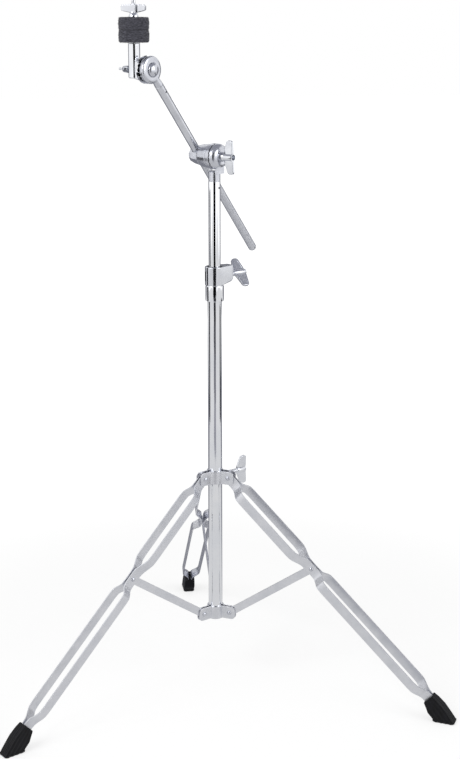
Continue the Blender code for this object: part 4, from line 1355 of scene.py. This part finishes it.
    def eye(self) -> None:
        """Casts the ratchet eye at the arm's end: a shallow dome, teeth behind it, and a neck."""
        disc = turned(self.eye_profile, self.tooth_facets, self.eye_teeth, self.tooth_height)
        disc.transform(joint_frame("cymbal_tilt", -UP))
        radius, mouth = self.arm_radius, self.arm_mouth + self.clearance
        spigot, tail = radius - self.arm_wall - self.clearance, mouth - self.spigot_length
        shoulder, drop = self.neck_taper
        start, end = (self.eye_at - short for short in self.neck_ends)
        neck = turned((
            (0, tail), (spigot, tail), (spigot, mouth), (radius, mouth), (radius, mouth + self.neck_collar),
            (shoulder, mouth + drop), (self.neck_radius, start), (self.neck_radius, end), (0, end),
        ), self.neck_facets)
        neck.transform(self.arm_frame())
        stand_in("boom_eye", "cast", settled(combined(disc, neck, Combine.JOIN)), CAST_CHROME)

    def pin(self, node: str, radius: float, tube: float) -> None:
        """Drives a spring pin through a tube, its ends flush.

        Args:
            node: The pin's CAD node.
            radius: The pin's radius.
            tube: The tube's radius.
        """
        end, edge = tube + self.pin_proud, self.pin_edge
        profile = (
            (0, -end), (radius - edge, -end), (radius, edge - end),
            (radius, end - edge), (radius - edge, end), (0, end),
        )
        place = frame_at(box_of(node)[2], joint("boom_tilt")[1], UP)
        stand_in(node, "driven", settled(turned(profile, self.pin_facets), place), BLUED_STEEL)

    def build(self) -> None:
        """Builds the boom's pieces."""
        eased_copy("tilter_base", CAST_CHROME, edge=0.35)
        self.head()
        self.eye()
        self.pin("tilter_pin", *self.tilter_pin)
        self.pin("boom_pin", *self.boom_pin)
        self.arm()
        self.knurl()
        self.wing_nut()


@dataclass
class CymbalPost:
    """Post, pivot, felts, rod and top nut, sizes in millimetres.

    Each of the web's two ends gives its place along the pivot, then its upper and its lower edge, counted
    down from the pivot.
    """

    rod_radius: float = 3.0
    rod_facets: int = 32
    rod_pitch: float = 1.0
    rod_depth: float = 0.45
    rod_tip: tuple[float, float] = (0.8, 0.9)
    thread_runout: tuple[float, float] = (0.6, 0.8)
    felt_radius: float = 21.2
    felt_facets: int = 120
    felt_bore: float = 5.6
    felt_edge: float = 1.0
    felt_bulge: float = 0.5
    felt_steps: int = 12
    face_steps: int = 5
    layer_scale: tuple[float, float, float] = (40.0, 40.0, 420.0)
    layer_swing: float = 0.35
    clump_scale: float = 300.0
    clump_swing: float = 0.25
    even_rim: float = 0.8
    fibre_density: float = 1600000.0
    fibre_length: float = 1.5
    fibre_width: float = 0.08
    washer_outer: float = 8.6
    washer_inner: float = 3.3
    washer_edge: float = 0.25
    facets: int = 64
    tooth_facets: int = 36
    tooth_height: float = 1.4
    disc_profile: Profile = (
        (0, -11.4), (17.6, -11.4), (19.2, -10.4), (19.8, -9.2), (19.8, -5.9), (12, -5.9), (12, -8.7),
        (0, -8.7),
    )
    disc_teeth: tuple[int, int] = (4, 5)
    stem_profile: Profile = (
        (0, -12.6), (6.8, -12.6), (8.1, -12.1), (8.6, -11.0), (8.6, 35.6), (8.2, 36.3), (3.3, 36.5),
        (3.3, 20), (0, 20),
    )
    web_half: float = 5.5
    web_edge: float = 1.2
    web_ends: tuple[tuple[float, float, float], ...] = ((-30.3, -12.0, 12.2), (-10.5, -12.0, 16.5))
    bolt_profile: Profile = (
        (0, -51.2), (3.4, -51.2), (4.0, -50.6), (4.0, 5.3), (9.8, 5.3), (10.0, 6.1), (9.7, 7.3), (8.8, 8.5),
        (7.2, 9.7), (5.0, 10.6), (2.5, 11.1), (0, 11.3),
    )
    top_nut_turn: float = 152.9
    top_nut_hub: Profile = (
        (3.3, 0), (6.8, 0), (7.0, 0.8), (6.6, 3.2), (5.2, 6), (4.6, 8), (4.4, 18.2), (4.0, 18.5), (3.3, 18.5),
    )
    pivot_nut_turn: float = 86.0
    pivot_nut_hub: Profile = ((4.3, -50.2), (4.6, -50.2), (5.4, -44), (6.0, -39.2), (4.3, -39.2))

    def stack_frame(self) -> Matrix:
        """Frame of the rod, Z up from the eye's level."""
        return Matrix.Translation(joint("top_nut_turn")[0])

    def felt_profile(self, height: float) -> Profile:
        """Profile of a felt washer with soft edges and a slight bulge.

        Args:
            height: The felt's height.

        Returns:
            The profile, from the bore's foot outwards and back to its top.
        """
        radius, bore, edge, steps = self.felt_radius, self.felt_bore, self.felt_edge, self.felt_steps
        faces = [(bore + (radius - edge - bore) * t / self.face_steps, 0.0) for t in range(self.face_steps)]
        angles = [math.radians(angle) for angle in (0, 30, 60)]
        lower = [(radius - edge * (1 - math.sin(angle)), edge * (1 - math.cos(angle))) for angle in angles]
        side = [
            (radius + self.felt_bulge * math.sin(math.pi * t / steps), edge + (height - 2 * edge) * t / steps)
            for t in range(steps + 1)
        ]
        upper = [(reach, height - level) for reach, level in reversed(faces + lower)]
        return (*faces, *lower, *side, *upper)

    def felt(self, node: str, seed: float) -> None:
        """Presses a felt washer: nearly straight sides, soft edges, and layers that bulge unevenly.

        Args:
            node: The felt's CAD node.
            seed: Where its unevenness is taken from.
        """
        low, high, middle = box_of(node)
        height = high.z - low.z
        mesh = turned(self.felt_profile(height / MM), self.felt_facets)
        for vert in mesh.verts:
            radial = Vector((vert.co.x, vert.co.y, 0))
            in_bore = radial.length < (self.felt_bore + 1) * MM
            if in_bore or min(vert.co.z, height - vert.co.z) <= self.even_rim * MM:
                continue
            layer = noise.noise(vert.co * Vector(self.layer_scale) + UP * seed)
            clump = noise.noise(vert.co * self.clump_scale + Vector((seed, 0, 0)))
            vert.co += radial.normalized() * (layer * self.layer_swing + clump * self.clump_swing) * MM
        data = settled(mesh, Matrix.Translation((middle.x, middle.y, low.z)), sharp=80.0)
        grown = NAP.grow(
            data, CHARCOAL_FELT, density=self.fibre_density, length=self.fibre_length * MM,
            width=self.fibre_width * MM,
        )
        piece = stand_in(node, "pressed", grown, CHARCOAL_FELT)

    def rod(self) -> None:
        """Turns the rod and cuts its thread."""
        place = self.stack_frame()
        low, high, _ = box_of("cymbal_rod")
        zero = place.translation.z
        bottom, top = (low.z - zero) / MM, (high.z - zero) / MM
        core = self.rod_radius - self.rod_depth
        narrowing, tip = self.rod_tip
        profile = ((0, bottom), (core, bottom), (core, top - tip), (core - narrowing, top), (0, top))
        stand_in("cymbal_rod", "turned", settled(turned(profile, self.rod_facets), place), BRIGHT_CHROME)
        ends = (bottom + self.thread_runout[0], top - self.thread_runout[1])
        thread_on("cymbal_rod_thread", "cymbal_rod", place, self.rod_radius, ends, self.rod_pitch)

    def post(self) -> None:
        """Casts the post: a toothed disc, an upright stem that runs past the pivot, and a web between."""
        place = joint_frame("cymbal_tilt", -UP)
        disc = turned(self.disc_profile, self.tooth_facets, self.disc_teeth, -self.tooth_height)
        disc.transform(place)
        stem = turned(self.stem_profile, self.facets)
        stem.transform(self.stack_frame())
        web = bmesh.new()
        for along, upper, lower in self.web_ends:
            for across in (-self.web_half, self.web_half):
                for level in (upper, lower):
                    web.verts.new(place @ (Vector((level, across, along)) * MM))
        bmesh.ops.convex_hull(web, input=web.verts)
        bmesh.ops.dissolve_limit(web, angle_limit=FLAT_ANGLE, verts=web.verts, edges=web.edges)
        round_over(web, web.edges[:], self.web_edge)
        whole = combined(combined(stem, web, Combine.JOIN), disc, Combine.JOIN)
        stand_in("cymbal_post", "cast", settled(whole), BRIGHT_CHROME)

    def bolt(self) -> None:
        """Turns the pivot bolt with its smooth domed head."""
        mesh = settled(turned(self.bolt_profile, self.facets), joint_frame("cymbal_tilt", -UP))
        stand_in("pivot_bolt", "turned", mesh, CAST_CHROME)

    def nuts(self) -> None:
        """Casts the top wing nut and the small one on the pivot bolt."""
        place = self.stack_frame()
        base = box_of("cymbal_wing_nut")[0].z - place.translation.z
        place = place @ Matrix.Translation((0, 0, base))
        place = place @ Matrix.Rotation(math.radians(self.top_nut_turn), 4, "Z")
        WingHead(
            "cymbal_wing_nut", place, self.top_nut_hub, span=36, root=(4.6, 18.5), tip=(9.6, 17.8),
            thickness=4.6, rounding=2.6, offset=2.2, past=4.6,
        ).build()
        WingHead(
            "pivot_wing_nut", joint_frame("pivot_nut_turn", -UP, self.pivot_nut_turn), self.pivot_nut_hub,
            span=24, root=(-50.2, -42.2), tip=(-51.2, -43.2), thickness=3.4, rounding=3.0,
        ).build()

    def build(self) -> None:
        """Builds the post's pieces."""
        self.post()
        self.bolt()
        eased_copy("cymbal_sleeve", BLACK_NYLON, edge=0.2)
        outer, inner = self.washer_outer, self.washer_inner
        upright_tube("seat_washer", "stamped", outer, inner, self.washer_edge, self.facets)
        self.rod()
        self.felt("felt_lower", 3.0)
        self.felt("felt_upper", 9.0)
        self.nuts()


@dataclass(frozen=True)
class Flag:
    """A board that only reflections see, placed from the column, sizes in metres.

    Attributes:
        name: Its name.
        angle: Its direction, in degrees to the camera's right.
        distance: How far off its middle is.
        height: How high its middle is.
        width: Its level width.
        depth: Its other side.
        grey: Its colour.
        facing: The way that a level board faces; the others face the column.
    """

    name: str
    angle: float
    distance: float
    height: float
    width: float
    depth: float
    grey: str
    facing: Vector | None = None


# A black flag behind the camera with a floor skirt, grey ones at the back and the sides, and a grey ceiling
FLAGS = (
    Flag("front_flag", 0, 3.2, 1.5, 2.2, 3.0, "#050506"),
    Flag("floor_skirt_0", 0, 2.95, 0.006, 1.7, 0.5, "#2A2A2E", UP),
    Flag("floor_skirt_1", 0, 2.45, 0.006, 1.4, 0.5, "#55555B", UP),
    Flag("floor_skirt_2", 0, 1.95, 0.006, 1.1, 0.5, "#7E7E85", UP),
    Flag("floor_skirt_3", 0, 1.45, 0.006, 0.8, 0.5, "#9C9CA3", UP),
    Flag("left_back_flag", -152, 2.8, 0.75, 3.6, 1.5, "#7C7D84"),
    Flag("left_back_floor", -152, 1.55, 0.006, 2.0, 2.0, "#8A8B92", UP),
    Flag("right_back_flag", 152, 2.8, 0.75, 3.6, 1.5, "#7C7D84"),
    Flag("right_back_floor", 152, 1.55, 0.006, 2.0, 2.0, "#8A8B92", UP),
    Flag("left_side_flag", -95, 1.5, 0.31, 0.7, 0.62, "#2C2D32"),
    Flag("right_side_flag", 97, 1.5, 0.16, 0.7, 0.32, "#2C2D32"),
    Flag("ceiling", 0, 0.4, 2.4, 4.0, 4.0, "#9FA0A8", -UP),
)


@dataclass(frozen=True)
class Lamp:
    """A soft square lamp, its angle in degrees to the camera's right, sizes in metres and power in watts."""

    name: str
    angle: float
    distance: float
    height: float
    size: float
    power: float


@dataclass
class Studio:
    """Camera at the photograph's place, white sweep, two soft lamps, and dark flags that only metal sees."""

    distance: float = 2.1405
    height: float = 1.0781
    swing: float = math.radians(7.85)
    yaw: float = math.radians(0.63)
    pitch: float = math.radians(14.79)
    focal_mm: float = 67.29
    sensor_mm: float = 36.0
    aim_height: float = 0.55
    fill_light: float = 0.5
    floor_side: float = 30.0
    floor_paper: str = "#F6F6F6"
    floor_glow: float = 1.15
    mat_side: float = 8.0
    mat_height: float = 0.003
    lamps: tuple[Lamp, ...] = (
        Lamp("key lamp", angle=-48, distance=2.6, height=2.5, size=1.6, power=42.0),
        Lamp("fill lamp", angle=58, distance=2.8, height=1.9, size=1.8, power=26.0),
    )

    def column(self) -> Vector:
        """Where the column stands on the floor."""
        middle = box_of("lower_tube")[2]
        return Vector((middle.x, middle.y, 0))

    def spot(self, angle: float, distance: float, height: float) -> Vector:
        """A place round the column.

        Args:
            angle: Its direction in degrees, 0 towards the camera and positive to the camera's right.
            distance: Its level distance from the column in metres.
            height: Its height in metres.

        Returns:
            The place.
        """
        turn = math.radians(angle) - math.pi / 2 - self.swing
        way = Vector((math.cos(turn), math.sin(turn), 0))
        return self.column() + way * distance + UP * height

    def camera(self) -> None:
        """Sets the camera up."""
        data = bpy.data.cameras.new("photo camera")
        data.sensor_fit = "VERTICAL"
        data.sensor_height = self.sensor_mm
        data.lens = self.focal_mm
        camera = placed("photo camera", data)
        camera.location = self.spot(0, self.distance, self.height)
        camera.rotation_euler = (math.pi / 2 - self.pitch, 0, -self.swing - self.yaw)
        bpy.context.scene.camera = camera

    def board(
        self, name: str, paint: str, centre: Vector, width: float, depth: float, facing: Vector
    ) -> tuple[Object, NodeTree]:
        """Makes a flat board with a material that has no nodes yet.

        Args:
            name: Its name.
            paint: Its material's name.
            centre: Its middle.
            width: Its level width in metres.
            depth: Its other side in metres.
            facing: The direction that it faces.

        Returns:
            The board and its material's tree.
        """
        level = UP.cross(facing)
        across = level.normalized() if level.length else Vector((1, 0, 0))
        rise = facing.cross(across).normalized()
        signs = ((-1, -1), (1, -1), (1, 1), (-1, 1))
        corners = [centre + across * x * width / 2 + rise * y * depth / 2 for x, y in signs]
        mesh = bpy.data.meshes.new(name)
        mesh.from_pydata(corners, [], [(0, 1, 2, 3)])
        board = placed(name, mesh)
        material = bpy.data.materials.new(paint)
        material.use_nodes = True
        material.node_tree.nodes.clear()
        mesh.materials.append(material)
        return board, material.node_tree

    @staticmethod
    def only_reflected(board: Object) -> None:
        """Hides a board from everything but reflections.

        Args:
            board: The board.
        """
        board.visible_camera = False
        board.visible_diffuse = False
        board.visible_shadow = False
        board.visible_transmission = False

    def flag(self, flag: Flag) -> None:
        """Puts up a board that shows only in reflections.

        Args:
            flag: The board's place, size and colour.
        """
        centre = self.spot(flag.angle, flag.distance, flag.height)
        facing = flag.facing or self.spot(flag.angle, -1.0, 0.0) - self.column()
        board, tree = self.board(flag.name, flag.name, centre, flag.width, flag.depth, facing)
        glow = add_node(tree, "ShaderNodeEmission", {"Color": linear(flag.grey), "Strength": 1.0})
        add_node(tree, "ShaderNodeOutputMaterial", {"Surface": glow.outputs["Emission"]})
        self.only_reflected(board)

    def by_distance(self, tree: NodeTree, near: float, far: float, start: float, end: float) -> NodeSocket:
        """Adds a value that changes with the distance from the column.

        Args:
            tree: The tree that gets the nodes.
            near: The value up to the start.
            far: The value from the end on.
            start: Distance in metres where it starts to change.
            end: Distance in metres where it stops.

        Returns:
            The socket that gives the value.
        """
        place = add_node(tree, "ShaderNodeTexCoord").outputs["Object"]
        distance = add_node(tree, "ShaderNodeVectorMath", {0: place, 1: self.column()}, operation="DISTANCE")
        return add_node(tree, "ShaderNodeMapRange", {
            "Value": distance.outputs["Value"], "From Min": start, "From Max": end,
            "To Min": near, "To Max": far,
        }, interpolation_type="SMOOTHSTEP").outputs["Result"]

    @staticmethod
    def seen(tree: NodeTree) -> NodeSocket:
        """Adds a value that is 1 for what is seen, straight or in metal or through glass, and else 0.

        Args:
            tree: The tree that gets the nodes.

        Returns:
            The socket that gives the value.
        """
        path = add_node(tree, "ShaderNodeLightPath").outputs
        through = add_node(tree, "ShaderNodeMath", {
            0: path["Is Glossy Ray"], 1: path["Is Transmission Ray"],
        }, operation="MAXIMUM")
        return add_node(tree, "ShaderNodeMath", {
            0: path["Is Camera Ray"], 1: through.outputs["Value"],
        }, operation="MAXIMUM").outputs["Value"]

    def mat(self) -> None:
        """Lays a grey mat that only reflections see, darker under the stand than away from it."""
        centre = self.spot(0, 0, self.mat_height)
        board, tree = self.board("floor_mat", "grey floor mat", centre, self.mat_side, self.mat_side, UP)
        strength = self.by_distance(tree, near=0.70, far=0.76, start=0.7, end=1.7)
        glow = add_node(tree, "ShaderNodeEmission", {"Strength": strength})
        add_node(tree, "ShaderNodeOutputMaterial", {"Surface": glow.outputs["Emission"]})
        self.only_reflected(board)

    def floor(self) -> None:
        """Lays the white floor, which keeps the stand's shadow."""
        side = self.floor_side
        _, tree = self.board("floor", "white paper sweep", self.column(), side, side, UP)
        paper = add_node(tree, "ShaderNodeBsdfDiffuse", {"Color": linear(self.floor_paper)})
        glow = add_node(tree, "ShaderNodeEmission", {"Strength": self.floor_glow})
        white = add_node(tree, "ShaderNodeMath", {
            0: self.seen(tree), 1: self.by_distance(tree, near=0.6, far=1.0, start=0.5, end=1.5),
        }, operation="MULTIPLY")
        mix = add_node(tree, "ShaderNodeMixShader", {
            0: white.outputs["Value"], 1: paper.outputs["BSDF"], 2: glow.outputs["Emission"],
        })
        add_node(tree, "ShaderNodeOutputMaterial", {"Surface": mix.outputs["Shader"]})

    def world(self) -> None:
        """Makes the surroundings white to the camera and to reflections, and a plain fill light otherwise."""
        world = bpy.data.worlds.new("white studio")
        world.use_nodes = True
        tree = world.node_tree
        tree.nodes.clear()
        level = add_node(tree, "ShaderNodeMapRange", {
            "Value": self.seen(tree), "To Min": self.fill_light, "To Max": 1.0,
        })
        air = add_node(tree, "ShaderNodeBackground", {
            "Color": (1, 1, 1, 1), "Strength": level.outputs["Result"],
        })
        add_node(tree, "ShaderNodeOutputWorld", {"Surface": air.outputs["Background"]})
        bpy.context.scene.world = world

    def lamp(self, lamp: Lamp) -> None:
        """Hangs a soft lamp that looks at the middle of the stand.

        Args:
            lamp: The lamp's place, size and power.
        """
        data = bpy.data.lights.new(lamp.name, "AREA")
        data.size = lamp.size
        data.energy = lamp.power
        hung = placed(lamp.name, data)
        hung.location = self.spot(lamp.angle, lamp.distance, lamp.height)
        aim = self.spot(0, 0, self.aim_height) - hung.location
        hung.rotation_euler = aim.to_track_quat("-Z", "Y").to_euler()

    def build(self) -> None:
        """Builds the studio."""
        self.camera()
        self.world()
        self.floor()
        self.mat()
        for flag in FLAGS:
            self.flag(flag)
        for lamp in self.lamps:
            self.lamp(lamp)
        bpy.context.scene.view_settings.view_transform = "Standard"


def main() -> None:
    """Builds the studio and the stand's sub-assemblies in order."""
    logging.basicConfig(level=logging.INFO, format="%(name)s: %(message)s")
    for assembly in (Studio(), Tripod(), Column(), Boom(), CymbalPost()):
        LOG.info("building %s", type(assembly).__name__)
        assembly.build()


if __name__ == "__main__":
    main()
